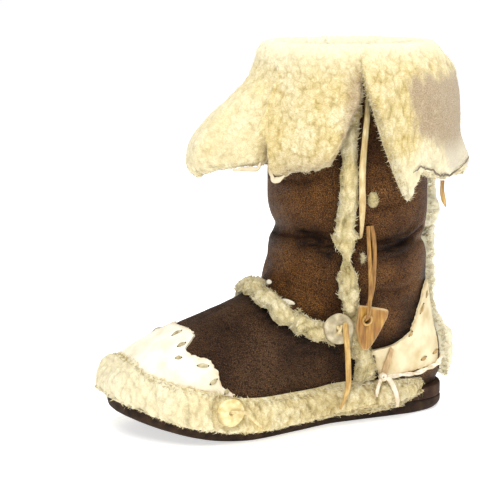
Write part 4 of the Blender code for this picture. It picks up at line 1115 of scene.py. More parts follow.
def overlay_shape(rings, angles, lift, ragged, seed):
    """A patch of hide over the upper, its edges torn, curled and a little darker."""
    base = upper_surface(rings, angles)
    near = border_distance(base)
    tear = ragged * noise_at(base, 4 * MM, seed) + 0.8 * ragged * noise_at(base, 1.9 * MM, seed + 1)
    edge = bell(near, 3 * MM)
    curl = edge * (0.5 * MM + 0.9 * MM * np.clip(noise_at(base, 6 * MM, seed + 2), 0, 1))
    swell = 0.35 * MM * noise_at(base, 18 * MM, seed + 3) + 0.2 * MM * noise_at(base, 5 * MM, seed + 4)
    thin = 1 - 0.5 * bell(near, 1.2 * MM)
    outer = upper_point(rings, angles, lift + LEATHER * thin + np.clip(swell, -0.3 * MM, 1) + curl)
    inner = upper_point(rings, angles, lift + 0 * rings)
    shift = unit(base.mean(axis=(0, 1)) - base) * (np.abs(tear) * edge)[..., None]
    worn = np.clip(edge * (0.35 + 0.5 * noise_at(base, 3 * MM, seed + 5)), 0, 1)
    return sheet_shape(outer + shift, inner + shift, marks_of(base.shape[:2], 1, worn))


def add_stitches(name, side, gap, stitches, seed, sewing):
    """A patch's flat thong stitches, each between two dark discs, the painted shadow in the holes that
    it goes through.
    """
    threads, holes = [], []
    for i, (ring, angle, lean) in enumerate(stitches):
        ring, angle = np.array([ring]), np.array([side * math.radians(angle)])
        centre = upper_point(ring, angle, gap + LEATHER + STITCH_LIFT)[0]
        normal = upper_normal(ring, angle)[0]
        along, around = (unit(slope[0]) for slope in upper_slopes(ring, angle))
        turn = math.radians(lean) * side
        heading = unit(around * math.cos(turn) + along * math.sin(turn))
        across = unit(np.cross(normal, heading))
        share = np.linspace(-0.5, 0.5, STITCH_STEPS)[:, None]
        size = 0.85 + 0.3 * math.sin(2.1 * i + seed // 10)
        arch = (1 - (2 * share) ** 2) * 1.1 * MM - 0.4 * MM
        centres = centre + heading * share * STITCH_LENGTH * size + normal * arch
        wide = STITCH_WIDTH / 2 * (0.72 + 0.28 * np.cos(share * math.pi))
        section = circle(10) * np.array([1, STITCH_THICK / STITCH_WIDTH]) * wide[:, None]
        threads.append(swept_shape(centres, across, normal, section, (0.6, 0.05, 0.5)))
        for end in (-0.5, 0.5):
            spot = centre + heading * end * 1.05 * STITCH_LENGTH * size
            disc = np.stack([spot - normal * 0.3 * MM, spot + normal * 0.12 * MM])
            holes.append(swept_shape(disc, across, heading, circle(10) * HOLE_OVAL, (0, 0, 0)))
    add_piece(name + "_stitches", threads, sewing)
    add_piece(name + "_hole_shadows", holes, dark_hole())


def make_cap():
    angles = np.linspace(-CAP_SIDE, CAP_SIDE, CAP_COLUMNS)
    low = rand_top(angles) - 0.008
    high = look_up(CAP_EDGE, np.abs(angles), "edge_ring") + 0.0035 * wander(angles, 30)
    rings = low + (high - low) * np.linspace(0, 1, CAP_ROWS)[:, None]
    sewing = thong_hide("pale sewing thong", "#c9c09a", "#94896a")
    white = rawhide("white-tanned hide", "#e0d5b8", "#f5efdb")
    add_stitches("toe_cap", 1, OVERLAY_GAP, CAP_STITCHES, 11, sewing)
    patch = overlay_shape(rings, angles + 0 * rings, OVERLAY_GAP, 2.6 * MM, 11)
    add_piece("toe_cap_hide", [patch], white, ["toe_cap"])


def make_counters():
    rows = np.linspace(0, 1, COUNTER_ROWS)
    rings, front, rear = (part[:, None] for part in spread(COUNTER, rows, " ".join(COUNTER)))
    front = front + math.radians(1.0) * wander(rows, 40, 3)[:, None]
    angles = front + (rear - front) * np.linspace(0, 1, COUNTER_COLUMNS)
    cream = rawhide("cream hide", "#cdb684", "#e9dcb6")
    sewing = thong_hide("sewing thong", "#c3a468", "#94763f")
    for name, side in (("counter_outer", 1), ("counter_inner", -1)):
        patch = overlay_shape(rings + 0 * angles, side * angles, COUNTER_GAP, 2.0 * MM, 21)
        add_piece(name + "_hide", [patch], cream, [name])
        add_stitches(name, side, COUNTER_GAP, COUNTER_STITCHES, 21, sewing)


# ---- bands, strips and rand of wool ----
STRIP_GAP = 0.8 * MM
BACK_GAP = 1.0 * MM
BAND_GAP = 1.4 * MM
EDGE_WAVER, EDGE_PITCH, EDGE_HEIGHT = 0.08, 17 * MM, 0.2
BAND = table("at_ring angle_deg", *BAND_SEAM)
BAND_WIDTH, BAND_HEIGHT = 15 * MM, 8 * MM
# Steps along each strip and across it.
BAND_STEPS, SIDE_STEPS, BACK_STEPS = (190, 27), (230, 25), (240, 48)
SIDE_STRIP = table(
    "at_ring angle_deg width height",
    (0.975, 67, 12, 2.6), (0.935, 65, 13, 4.2), (0.893, 64, 13, 6.0), (0.825, 64, 14, 7.5),
    (0.76, 62, 16, 7.5), (0.69, 61, 19, 8), (0.64, 62, 16, 6), (0.593, 63, 6, 3.5),
    (0.56, 64, 12, 6), (0.518, 67, 17, 7.5), (0.47, 73, 15, 7), (0.427, 79, 14, 7),
    (0.37, 88, 13, 6), (0.318, 96, 13, 6), (0.27, 101, 13, 6.5), (0.222, 106, 16, 7),
    (0.17, 109.5, 19, 7.5), (0.112, 111, 21, 6.5),
)
BACK_STRIP = table(
    "at_ring width height",
    (0.03, 30, 11), (0.08, 38, 14.5), (0.125, 42, 15.5), (0.17, 42, 15.5), (0.225, 38, 13.5),
    (0.28, 32, 11), (0.35, 32, 10), (0.42, 32, 12), (0.5, 34, 14), (0.6, 34, 16),
    (0.68, 34, 17.5), (0.76, 36, 18), (0.82, 36, 17), (0.865, 34, 13),
)
RAND_REACH = math.radians(140)
RAND_HANG = table(
    "angle_deg height",
    (0, 16), (25, 12.5), (50, 9.5), (80, 9), (112, 9.2), (124, 10.4), (133, 14.4), (140, 19.4),
)
RAND_GAP = 1.1 * MM
RAND_TOE = 0.72
RAND_STAND = table("stand", (5,), (10,), (12.5,), (13.5,), (12.5,), (9.5,), (4,))
RAND_STEP = 1 * MM
RAND_PRESSED = 5.5 * MM  # how deep the button sits in the wool
RAND_ROWS, RAND_COLUMNS = 56, 640
RAND_GUIDE_ROW = 20  # along which the columns are evenly apart
RAND_ENDS = math.radians(12)
TOE_FROM, TOE_TO = 0.1, 0.9
RAND_ON_UPPER = np.array((0.15, 0.36, 0.58, 0.8, 1.0))[:, None]


def band_grids(rings, angles, widths, heights, across, lift):
    """Outer and inner grids of a domed, tufted strip of wool along a path on the upper."""
    path = upper_surface(rings, angles)
    sideways = unit(np.cross(np.gradient(path, axis=0), upper_normal(rings, angles)))[:, None]
    share = np.linspace(-1, 1, across)[None]
    waver = 1 + EDGE_WAVER * np.sin(run_along(path) * TURN / EDGE_PITCH)
    sides = path[:, None] + sideways * np.sign(share)[..., None] * 20 * MM
    waver = waver[:, None] + 0.36 * noise_at(sides, 11 * MM, 3) + 0.12 * noise_at(sides, 3.5 * MM, 4)
    distance = share * widths[:, None] / 2 * waver
    grid_t, grid_a = beside(rings[:, None], angles[:, None], sideways, distance)
    grid_t = np.clip(grid_t, 0, 1)
    crown = EDGE_HEIGHT + (1 - EDGE_HEIGHT) * np.sqrt(np.clip(1 - share**2, 0, 1))
    tufts = 1 + 0.35 * noise_at(path, 10 * MM, 6)
    stand = (heights * tufts)[:, None] * crown
    return upper_point(grid_t, grid_a, lift + stand), upper_point(grid_t, grid_a, lift + 0 * stand)


def make_band(values):
    angles = np.radians(np.linspace(-90, 90, BAND_STEPS[0]))
    rings = smooth(BAND["angle_deg"], BAND["at_ring"], np.abs(angles))
    ends = 0.5 + 0.5 * ramp(math.pi / 2 - np.abs(angles), 0, 0.12)
    width = np.full_like(angles, 1.1 * BAND_WIDTH)
    grids = band_grids(rings, angles, width, BAND_HEIGHT * ends, BAND_STEPS[1], BAND_GAP)
    fleece = Wool(
        7.5, 3.2, fringe=1900, length=3.7, thickness=1.0, lean=0.3, gather=1.2, roll=0.8, hairs=1500
    )
    shapes = wool_shapes(*grids, fleece, values, 3)
    add_piece("instep_band_wool", shapes, cut_wool(), ["instep_band"])


def make_side_strip(values):
    columns = spread(SIDE_STRIP, np.linspace(0, 1, SIDE_STEPS[0]), " ".join(SIDE_STRIP))
    grids = band_grids(*columns, SIDE_STEPS[1], STRIP_GAP)
    fleece = Wool(
        8.5, 3.4, stretch=1.3, fringe=1800, length=3.3, thickness=0.9, lean=0.3, gather=1.2, roll=0.8,
        hairs=1500,
    )
    shapes = wool_shapes(*grids, fleece, values, 4)
    add_piece("side_strip_wool", shapes, cut_wool(), ["side_strip"])


def make_back_strip(values):
    rings, width, height = spread(BACK_STRIP, np.linspace(0, 1, BACK_STEPS[0]), " ".join(BACK_STRIP))
    grids = band_grids(rings, np.full_like(rings, math.pi), width, height, BACK_STEPS[1], BACK_GAP)
    fleece = Wool(
        7, 3.4, stretch=1.2, fringe=1800, length=4.4, thickness=0.7, gather=1.3, roll=0.8, hairs=1000
    )
    # The whole strip painted paler, partly as a highlight.
    shapes = wool_shapes(*grids, fleece, values, 5, pale=1.0)
    add_piece("back_strip_wool", shapes, shearling(), ["back_strip"])


def make_rand(values):
    angles = np.linspace(-RAND_REACH, RAND_REACH, RAND_COLUMNS)
    away = np.abs(angles)
    edge, outward = sole_outline(angles, 0)
    overhang = ((upper_surface(0, angles)[:, :2] - edge) * outward).sum(-1)
    edge = edge + outward * (np.maximum(overhang, 0) + RAND_GAP)[:, None]
    flat = raised(outward, 0)
    foot = raised(edge, floor_rise(edge[:, 0]) + look_up(RAND_HANG, away, "height"))
    step = raised(edge, np.maximum(sole_top(edge[:, 0]), foot[:, 2] + RAND_STEP) + GAP)
    rings = rand_top(angles) * RAND_ON_UPPER
    grid = angles + 0 * rings
    inner = refined(np.concatenate([[foot, step], upper_point(rings, grid, RAND_GAP)]), RAND_ROWS)
    direction = unit(refined(np.concatenate([[flat, flat], upper_normal(rings, grid)]), RAND_ROWS))
    stand = spread(RAND_STAND, np.linspace(0, 1, RAND_ROWS), "stand")[:, None]
    ends = 0.45 + 0.55 * ramp(RAND_REACH - away, 0, RAND_ENDS)
    toe = RAND_TOE + (1 - RAND_TOE) * ramp(away, TOE_FROM, TOE_TO)
    stand = stand * ends * toe
    button = upper_point(*RAND_BUTTON, RAND_BUTTON_STAND)
    under = ramp(np.linalg.norm(inner + direction * stand[..., None] - button, axis=-1), 18 * MM, 12 * MM)
    stand = stand - RAND_PRESSED * under
    inner, direction, stand, under = even_columns(inner[RAND_GUIDE_ROW], inner, direction, stand, under)
    outer = inner + unit(direction) * stand[..., None]
    fleece = Wool(
        5.4, 2.4, stretch=1.9, fringe=3000, fringe_width=6, length=3.1, thickness=1.1, lean=0.6,
        gather=1.2, roll=0.9, hairs=4600,
    )
    down = np.linspace(1, 0, RAND_ROWS)[:, None, None]
    # The toe painted paler as a highlight; none under the button.
    pale = (0.6 - 0.55 * ramp(away, 0.2, 1.2)) * (1 - under)
    # Darker towards the heel: painted shade, given through the wear mark.
    dust = 0.2 * ramp(away, 0.7, 2.0) * (1 + noise_at(outer, 14 * MM, 8))
    looks = {"comb": DOWN * (2.2 * down - 0.8), "cut": 1 - 0.5 * under, "wear": dust, "pale": pale}
    shapes = wool_shapes(outer, inner, fleece, values, 6, **looks)
    add_piece("rand_wool", shapes, rand_wool(), ["fur_rand"])


# ---- cuffs ----
CUFF_THICKNESS, CUFF_GAP = 13 * MM, 0.8 * MM
SKIN = 1.6 * MM  # the flap's own hide, under its wool
CUFF_FOLD = table(
    "inside_across inside_up outside_across outside_up",
    (-4.6, 0.3, -7.5, 2.5), (-3.2, 0.3, -7.5, 12), (-1.4, 0.3, -2, 18.5), (0.4, 0.3, 6.5, 18.5),
    (0.8, -0.6, 13, 11),
)
# How far down the flap each level lies, and the share of the wool's thickness there.
CUFF_LEVELS = table(
    "drop_ring full_ring", (0.06, 1), (0.22, 1), (0.4, 1), (0.58, 1), (0.76, 1), (0.9, 0.85), (1.0, 0.4)
)
FLARE_FRONT = table(
    "down_ring out_ring", (0, 0), (0.18, 0.05), (0.36, 0.2), (0.55, 0.57), (0.7, 0.85), (0.86, 1), (1, 0.99)
)
FLARE_BACK = table("down_ring out_ring", (0, 0), (0.12, 0.25), (0.3, 0.82), (0.5, 1), (1, 1))
CUFF_FRONT = table(
    "top_deg hem_deg hem flare",
    (69.5, 62, 252, 9), (62, 57, 236, 9.5), (54, 52, 222, 10), (42, 42, 217, 12), (30, 31, 215, 14),
    (20, 22, 210, 17), (12, 14, 220, 24), (4, 6, 217, 44), (-4, -2, 211, 60), (-14, -12, 206, 59),
    (-24, -22, 205, 55), (-36, -34, 207, 50), (-52, -50, 212, 38), (-68, -68, 204, 22),
    (-84, -84, 196, 12), (-95, -93, 204, 8),
)
CUFF_BACK = table(
    "top_deg hem_deg hem flare",
    (71.2, 97, 196, 14), (82, 101, 192, 14), (90, 105, 202, 14), (98, 108, 212, 14), (108, 114, 210, 14),
    (122, 126, 206, 13), (138, 140, 205, 12), (152, 154, 208, 13), (164, 166, 216, 17),
    (178, 180, 208, 22), (194, 194, 205, 22), (212, 212, 204, 18), (230, 230, 208, 16),
    (248, 248, 206, 12), (263, 264, 200, 8),
)
# Where a hem is cut up, and where it is kicked out: share round, width and depth.
FRONT_NOTCH = (0.372, 0.017, 17 * MM)
BACK_CORNER = (0.485, 0.04, 17 * MM)
HEM_WAVER = 2.4 * MM
SLIT_SWEEP = 1.5
COLLAR_MIDDLE = (RINGS["front_s"][-1] + RINGS["back_s"][-1]) / 2
LAP = math.radians(3.2)  # how far the flaps' wool laps over the top of a slit
LAP_END, LAP_FULL = 258 * MM, 274 * MM
CUFF_ROWS, CUFF_COLUMNS = 148, 289
COLLAR = RINGS["front_z"][-1]
ROLL_TOP = COLLAR + 19 * MM
LEVEL = np.array([1, 1, 0])


def ring_at(z):
    """Ring share of the shaft at a height."""
    middle = (RINGS["front_z"] + RINGS["back_z"]) / 2
    return np.interp(z, middle, np.linspace(0, 1, len(middle)))


def cuff_grids(shape, profile, notch, corner):
    """Grids of a flap, from inside the collar over the roll to the hem: its inner face, where its
    hide ends and the wool starts, and the wool's outer face. A notch cuts up into its hem and a
    corner kicks it outward."""
    place = np.linspace(0, 1, CUFF_COLUMNS)
    top, hem_angle, hem, flare = spread(shape, place, " ".join(shape))
    if notch:
        hem = hem + notch[2] * bell(place - notch[0], notch[1])
    hem = hem + HEM_WAVER * (wander(place, 23, 1) + 0.5 * wander(place, 61, 2))
    apart = np.sign(top[-1] - top[0]) * (ramp(place, 0.95, 1) - ramp(place, 0.05, 0))
    drop, full = (column[:, None] for column in CUFF_LEVELS.values())
    z = COLLAR + (hem - COLLAR) * drop
    share = (ROLL_TOP - z) / (ROLL_TOP - hem)
    across = CUFF_GAP + flare * look_up(profile, share, "out_ring")
    if corner:
        across = across + corner[2] * bell(place - corner[0], corner[1]) * ramp(drop, 0.6, 1.1)
    angles = top + (hem_angle - top) * drop**SLIT_SWEEP
    slope_across, slope_up = np.gradient(across, axis=0), np.gradient(z, axis=0)
    thick = CUFF_THICKNESS * full
    length = np.hypot(slope_across, slope_up)
    fold = {key: column[:, None] + 0 * place for key, column in CUFF_FOLD.items()}
    lap = LAP * apart * ramp(z, LAP_END, LAP_FULL)

    def body(side, path_across, path_up, lap):
        out = np.concatenate([fold[side + "_across"], path_across])
        up = np.concatenate([COLLAR + fold[side + "_up"], path_up])
        angle = np.concatenate([top + lap[0] + 0 * fold[side + "_up"], angles + lap])
        ring = ring_at(np.minimum(up, COLLAR))
        points = upper_surface(ring, angle) + unit(upper_normal(ring, angle) * LEVEL) * out[..., None]
        points[..., 2] = up
        return refined(points, CUFF_ROWS)

    inner = body("inside", across, z, 0 * lap)
    outer = body("outside", across - thick * slope_up / length, z + thick * slope_across / length, lap)
    return inner, inner + unit(outer - inner) * SKIN, outer


def make_cuff(name, grids, fleece, values, own, looks):
    """A flap of a cuff. looks gives the wool's comb, cut, wear and pale share at (share round, share
    down): wear is partly painted shade, and pale partly a painted highlight.
    """
    inner, hide, outer = grids
    place = np.linspace(0, 1, CUFF_COLUMNS)[None]
    drop = np.linspace(0, 1, CUFF_ROWS)[:, None]
    slit = 1 - ramp(np.minimum(place, 1 - place), 0.02, 0.06)
    edge = (7 - 5.5 * slit * ramp(drop, 0.6, 0.35)) * MM
    shapes = wool_shapes(outer, hide, fleece, values, own, edge=edge, **looks(place, drop))
    add_piece(name + "_wool", shapes, shearling(), [name])
    inner, hide = inner[::3, ::3], hide[::3, ::3]
    edge = bell(border_distance(inner), 3.5 * MM)
    curl = edge * 1.4 * MM * noise_at(inner, 9 * MM, values.seed + own)
    shift = unit(hide - inner) * curl[..., None]
    marks = marks_of(inner.shape[:2], 0.5, edge)
    skin = sheet_shape(hide + shift, inner + shift, marks, marks)
    add_piece(name + "_skin", [skin], flesh_side(), [name])
    return outer


def skin_ribbon(name, grid, places, size, finish, seed, steps=120):
    """A curled edge of skin along places (share round, share down) of a flap's grid."""
    rows, columns = grid.shape[:2]
    route = refined(places, steps)
    points = at_places(grid, route[:, 1] * (rows - 1), route[:, 0] * (columns - 1))
    points = evenly(points, steps) + DOWN * 0.5 * size
    outward = unit(points * LEVEL - np.array([COLLAR_MIDDLE, 0, 0]))
    points = points + outward * 0.3 * size
    points = points + np.stack([noise_at(points, 6 * MM, seed + k) for k in range(3)], -1) * 0.7 * MM
    arch = np.sin(np.linspace(0, math.pi, steps)) ** 0.5
    swell = (0.35 + 0.65 * arch) * (0.8 + 0.5 * noise_at(points, 6 * MM, seed))
    section = circle(10) * np.array([1.0, 0.62]) * (size / 2 * swell)[:, None, None]
    tube = swept_shape(points, *directions(points, outward), section, (0.5, 0.25, 0.5))
    add_piece(name, [tube], finish)


def front_looks(place, drop):
    """The front flap's wool: a smooth, near-white lobe hangs over the instep."""
    lobe = ramp(place, 0.35, 0.44) * ramp(drop, 0.42, 0.66) * (1 - ramp(place, 0.8, 0.9))
    # Darker down the slit side, where the flap rounds in: partly dirt, partly painted shade.
    slit = 0.8 * (1 - ramp(place, 0.02, 0.12)) * ramp(drop, 0.35, 0.6)
    return {
        "cut": 1 - np.maximum(0.25 * lobe, 0.5 * (1 - ramp(drop, 0.2, 0.55))),
        # The hem, where the wool curves in, painted darker as shade; and the slit side.
        "wear": np.maximum(slit, 0.45 * ramp(drop, 0.82, 0.97) * (1 - lobe)),
        # The top of the roll painted paler as a highlight; the lobe paler too.
        "pale": np.maximum(0.35 * lobe, 0.85 * (1 - ramp(drop, 0.25, 0.55))),
    }


def back_looks(place, drop):
    """The back flap's wool: worn down to a nap on the outer side, behind the slit."""
    side = ramp(place, 0.12, 0.26) * (1 - ramp(place, 0.52, 0.6))
    low = drop - 0.18 * ramp(place, 0.3, 0.42)
    share = side * ramp(drop, 0.39, 0.56) * (1 - ramp(low, 0.7, 0.84))
    spot = np.stack(np.broadcast_arrays(28 * place, 14 * drop, 0), -1)
    broken = noise_at(spot, 1.0, 3) + 0.6 * noise_at(spot, 0.4, 4)
    worn = ramp(share + 0.34 * broken * (share > 0), 0.12, 0.9)
    return {
        "comb": (0.3, 0, -1),
        "cut": 1 - np.maximum(0.8 * worn, 0.5 * (1 - ramp(drop, 0.2, 0.45))),
        "wear": 0.9 * worn,
        # Paler low on the flap, and the top of the roll painted paler as a highlight.
        "pale": 0.7 * ramp(drop, 0.72, 0.86) + 0.85 * (1 - ramp(drop, 0.25, 0.5)),
    }


def make_front_cuff(values):
    fleece = Wool(
        5.2, 2.4, stretch=1.15, fringe=2600, length=3.4, thickness=0.8, lean=0.9, gather=1.2, roll=0.9,
        hairs=4600,
    )
    grids = cuff_grids(CUFF_FRONT, FLARE_FRONT, FRONT_NOTCH, None)
    outer = make_cuff("cuff_front", grids, fleece, values, 7, front_looks)
    cream = rawhide("cuff skin", "#c4b48c", "#e6ddc2")
    toe = ((0.392, 0.985), (0.405, 1), (0.43, 1), (0.455, 0.99))
    skin_ribbon("cuff_front_curl_toe", outer, toe, 5 * MM, cream, 5)
    slit = ((0.357, 0.955), (0.345, 0.978), (0.32, 0.985), (0.295, 0.975))
    skin_ribbon("cuff_front_curl_slit", outer, slit, 5 * MM, cream, 9)


def make_back_cuff(values):
    fleece = Wool(
        5.6, 2.4, stretch=1.5, fringe=2400, length=3.5, thickness=0.8, lean=1.1, gather=1.2, roll=0.9,
        hairs=3400,
    )
    grids = cuff_grids(CUFF_BACK, FLARE_BACK, None, BACK_CORNER)
    outer = make_cuff("cuff_back", grids, fleece, values, 8, back_looks)
    torn = (
        (0.1, 0.84), (0.16, 0.86), (0.21, 0.92), (0.27, 0.93), (0.34, 0.955), (0.42, 0.95), (0.48, 0.9)
    )
    skin_ribbon("cuff_back_torn_edge", outer, torn, 2.2 * MM, flesh_side(), 3)


# ---- wool that shows through the upper ----
# Tufts and the shaft panel's cut edge: (ring share, angle in degrees, width and height in millimetres).
TUFTS = ((0.808, 82, 9.5, 13), (0.595, 75, 4, 9))
FLECKS = ((0.469, 10, 8, 4.5), (0.4, 46.5, 15, 6))
FLECK_LEAN = -0.45


def patch_grid(ring, angle, width, height, lean, rise, rows=16):
    """Grids of a domed oval patch on the upper, from its border to its middle."""
    share = np.linspace(1, 0.02, rows)[:, None]
    middle_t, middle_a = np.full((1, 1), ring), np.full((1, 1), math.radians(angle))
    along, around = (unit(slope[0, 0]) for slope in upper_slopes(middle_t, middle_a))
    x, y = (circle(49, closed=True) * np.array([width, height]) / 2 * MM).T[:, None] * share
    x, y = x * math.cos(lean) - y * math.sin(lean), x * math.sin(lean) + y * math.cos(lean)
    shift = around * x[..., None] + along * y[..., None]
    distance = np.linalg.norm(shift, axis=-1)
    t, a = beside(middle_t + 0 * distance, middle_a + 0 * distance, unit(shift), distance)
    dome = rise * MM * np.sqrt(np.clip(1 - share**2, 0, 1)) + 0 * distance
    return upper_point(t, a, dome), upper_point(t, a, 0 * dome - 0.4 * MM)


def make_tufts(values):
    fleece = Wool(
        4, 1.6, fringe=160, fringe_width=4, length=2.2, thickness=0.5, gather=1.2, roll=0.9, hairs=60
    )
    tufts, flecks = [], []
    for i, place in enumerate(TUFTS):
        tufts += wool_shapes(*patch_grid(*place, 0, 3), fleece, values, 20 + i, wrap=True)
    add_piece("shaft_tufts", tufts, cut_wool())
    for place in FLECKS:
        outer, inner = patch_grid(*place, FLECK_LEAN, 1.2, rows=8)
        grid = np.concatenate([inner[:1], outer])
        flecks.append(surface_shape(grid, marks_of(grid.shape[:2], 0.9, 0.02), wrap=True))
    add_piece("panel_edge_flecks", flecks, rawhide("edge skin", "#e6dcbe", "#fbf7e8"))


# ---- buttons, toggle, thongs ----
BUTTON_SECTION = table("radius up", (2.2, 0), (12.6, 0), (13.4, 1.2), (12.4, 2.8), (8, 3.4), (2.2, 3.2))
BUTTON_OVAL, BUTTON_GAP, INNER_BUTTON_SINK = 0.04, 0.2 * MM, 0.5 * MM
BUTTON_RIM, BUTTON_THICK = 13.4 * MM, 3.4 * MM
BUTTON_STEPS, BUTTON_CORNERS = 48, 72
ON_BAND = BAND_HEIGHT + BAND_GAP + BUTTON_GAP
BAND_BUTTONS = (("button_outer", 1, 0), ("button_inner", -1, INNER_BUTTON_SINK))  # name, side and sink
BAND_BUTTON = (0.325, math.radians(86))
RAND_BUTTON = (0.092, math.radians(57))
RAND_BUTTON_STAND, RAND_BUTTON_SIZE = 14.1 * MM, 0.88


def button_shape(t, a, stand, size, seed):
    centre, axis = upper_point(t, a, stand), upper_normal(t, a)
    across = unit(np.cross(-DOWN, axis))
    upright = np.cross(axis, across)
    angles = np.linspace(0, TURN, BUTTON_CORNERS, endpoint=False)
    profile = np.stack([BUTTON_SECTION["radius"] * size, BUTTON_SECTION["up"]])
    profile = np.concatenate([profile, profile[:, :1]], 1)
    knots, place = np.linspace(0, 1, profile.shape[1]), np.linspace(0, 1, BUTTON_STEPS + 1)
    profile = np.stack([np.interp(place, knots, line) for line in profile])
    profile[:, 1:-1] = 0.25 * profile[:, 2:] + 0.5 * profile[:, 1:-1] + 0.25 * profile[:, :-2]
    radius, height = profile[:, :-1, None]
    radius = radius * (1 + 0.02 * np.sin(2 * angles + seed) + 0.012 * np.sin(5 * angles + 2 * seed))
    ring = np.cos(angles)[:, None] * across * (1 - BUTTON_OVAL) + np.sin(angles)[:, None] * upright
    points = centre + radius[..., None] * ring + height[..., None] * axis
    rim = ramp(radius / size, 10 * MM, BUTTON_RIM)
    # One side of the rim painted darker as shade, through the wear mark.
    marks = marks_of(radius.shape, 1 - rim, 0.55 * rim * (np.sin(angles + 2.2) > 0.75), 0.5)
    faces = grid_faces(BUTTON_STEPS + 1, BUTTON_CORNERS, wrap=True) % len(marks)
    return points.reshape(-1, 3), [faces], marks


def make_buttons():
    grey = bone("grey bone", "#8f8162", "#b4a683", "#cfc3a2")
    yellow = bone("yellow bone", "#c2a867", "#dcc88c", "#eadcae")
    ring, angle = BAND_BUTTON
    for i, (name, side, sink) in enumerate(BAND_BUTTONS):
        shape = button_shape(ring, side * angle, ON_BAND - sink, 1, i)
        add_piece(name + "_disc", [shape], grey, [name])
    shape = button_shape(*RAND_BUTTON, RAND_BUTTON_STAND, RAND_BUTTON_SIZE, 2)
    add_piece("button_rand_disc", [shape], yellow, ["button_rand"])


TOGGLE_OUTLINE = table(
    "s z",
    (110, 106), (97, 103.5), (84, 100.5), (85, 94.5), (93, 81), (101, 70), (104, 68), (108, 69),
    (111, 77), (113, 87), (110, 106),
)
TOGGLE_CORNERS = 96
TOGGLE_THICKNESS = 5.5 * MM
TOGGLE_HOLE, TOGGLE_HOLE_RADIUS = np.array([105, 94]) * MM, 3.2 * MM
# How deep each ring of a face lies, from the rim of the hole to the bevelled edge.
TOGGLE_FACE = table(
    "out_ring depth",
    (0, 0.7), (0.06, 0.1), (0.2, 0), (0.4, 0), (0.6, 0), (0.8, 0), (0.93, 0.25), (1.0, 1.2),
)


def make_toggle():
    """A wedge of horn in rings from its hole out to its edge, on both faces."""
    outline = np.stack(list(TOGGLE_OUTLINE.values()), -1)
    dense = evenly(outline, 4 * TOGGLE_CORNERS, closed=True)
    turn = np.arctan2(*(dense - TOGGLE_HOLE).T[::-1])
    order = np.argsort(turn)
    want = np.linspace(-math.pi, math.pi, TOGGLE_CORNERS, endpoint=False)
    edge = np.stack([np.interp(want, turn[order], dense[order, k], period=TURN) for k in range(2)], -1)
    for _ in range(2):
        edge = (np.roll(edge, 1, 0) + 6 * edge + np.roll(edge, -1, 0)) / 8
    hole = TOGGLE_HOLE + TOGGLE_HOLE_RADIUS * np.stack([np.cos(want), np.sin(want)], -1)
    front = hole + (edge - hole) * TOGGLE_FACE["out_ring"][:, None, None]
    rough = 0.25 * MM * noise_at(raised(front, 0), 5 * MM, 4)
    depth = TOGGLE_FACE["depth"][:, None] + np.clip(rough, 0, 1)
    faces = [TOGGLE_FACE_Y + depth, TOGGLE_FACE_Y + TOGGLE_THICKNESS - depth]
    grids = [np.stack([front[..., 0], y, front[..., 1]], -1) for y in faces]
    loop = np.concatenate([grids[0], grids[1][::-1], grids[0][:1]])
    # The top painted paler, partly as a highlight; the bevelled edge paler.
    top = ramp(loop[..., 2] - 98 * MM - 0.25 * (loop[..., 0] - 84 * MM), 0, 3 * MM)
    near = ramp(np.abs(loop[..., 1] - TOGGLE_FACE_Y - TOGGLE_THICKNESS / 2), 2.2 * MM, 1.2 * MM)
    marks = marks_of(loop.shape[:2], 0.5, np.clip(0.75 * top + 0.35 * near, 0, 1))
    shape = surface_shape(loop, marks, wrap=True)
    add_piece("toggle_horn", [shape], horn(), ["toggle"], 40)


# name: (thickness, width over thickness, how its far end tapers, [(s, y, z)]), in millimetres
THONGS = {
    "thong_side": (4.0, 1.35, 0.5, [
        (101.5, -61.0, 272), (103.5, -64, 262), (106.5, -66.5, 245), (109, -67.3, 222),
        (109.3, -67.3, 205), (108.5, -66.5, 190), (107.5, -64.5, 177), (106, -61, 167), (105, -57.8, 160.5),
    ]),
    "thong_toggle": (2.4, 1.5, 0.9, [
        (97, -61.8, 170), (95.6, -62.6, 160), (94.8, -63.2, 148), (95, -63.2, 134), (95.8, -62.8, 120),
        (98.5, -62.2, 107), (103, -62.2, 99), (105, -63.9, 94.8), (105.2, -67.2, 93.8), (105.4, -70.6, 94.6),
        (105.4, -73.2, 99), (104.4, -73.4, 108), (102.6, -71.4, 122), (101.6, -68, 138), (101, -65, 152),
        (100.6, -62.8, 163), (100.4, -61.8, 170),
    ]),
    "thong_button": (3.4, 1.4, 0.5, [
        (121.4, -64.0, 92), (121.6, -65.4, 84), (120, -64.8, 72), (118, -63, 56), (117, -61.6, 39),
        (119.6, -60.7, 27), (123.6, -60.7, 19),
    ]),
    "thong_rand": (2.0, 1.3, 0.6, [
        (230.5, -78.6, 33), (225, -79.3, 32.6), (219.5, -79.3, 31.6), (214.5, -76.6, 29), (208.5, -75.4, 23),
        (203, -74.2, 18), (199.5, -73.2, 14.2),
    ]),
    "thong_inner": (2.4, 1.3, 0.4, [
        (125.3, 56.8, 86.3), (126.3, 55.9, 82.3), (126.6, 55.5, 78.6), (127.5, 56.6, 72), (128.2, 57, 64),
        (128.6, 56.4, 57),
    ]),
    "thong_cuff": (2.8, 1.4, 0.4, [(33, -64.9, 204), (33.2, -64.9, 196), (32, -65, 189), (29.6, -65.2, 182)]),
    "lace_tail_long": (3.2, 1.3, 0.5, [
        (78, -57.6, 40), (75.4, -59.8, 36), (73, -62.2, 29), (71, -62.5, 22), (70.2, -61.4, 15.5),
    ]),
    "lace_tail_short": (2.6, 1.3, 0.4, [
        (83.9, -56.8, 38.7), (87, -59.4, 35), (89.4, -61, 30.5), (90, -61.6, 26),
    ]),
}
THONG_STEP = 1.2 * MM
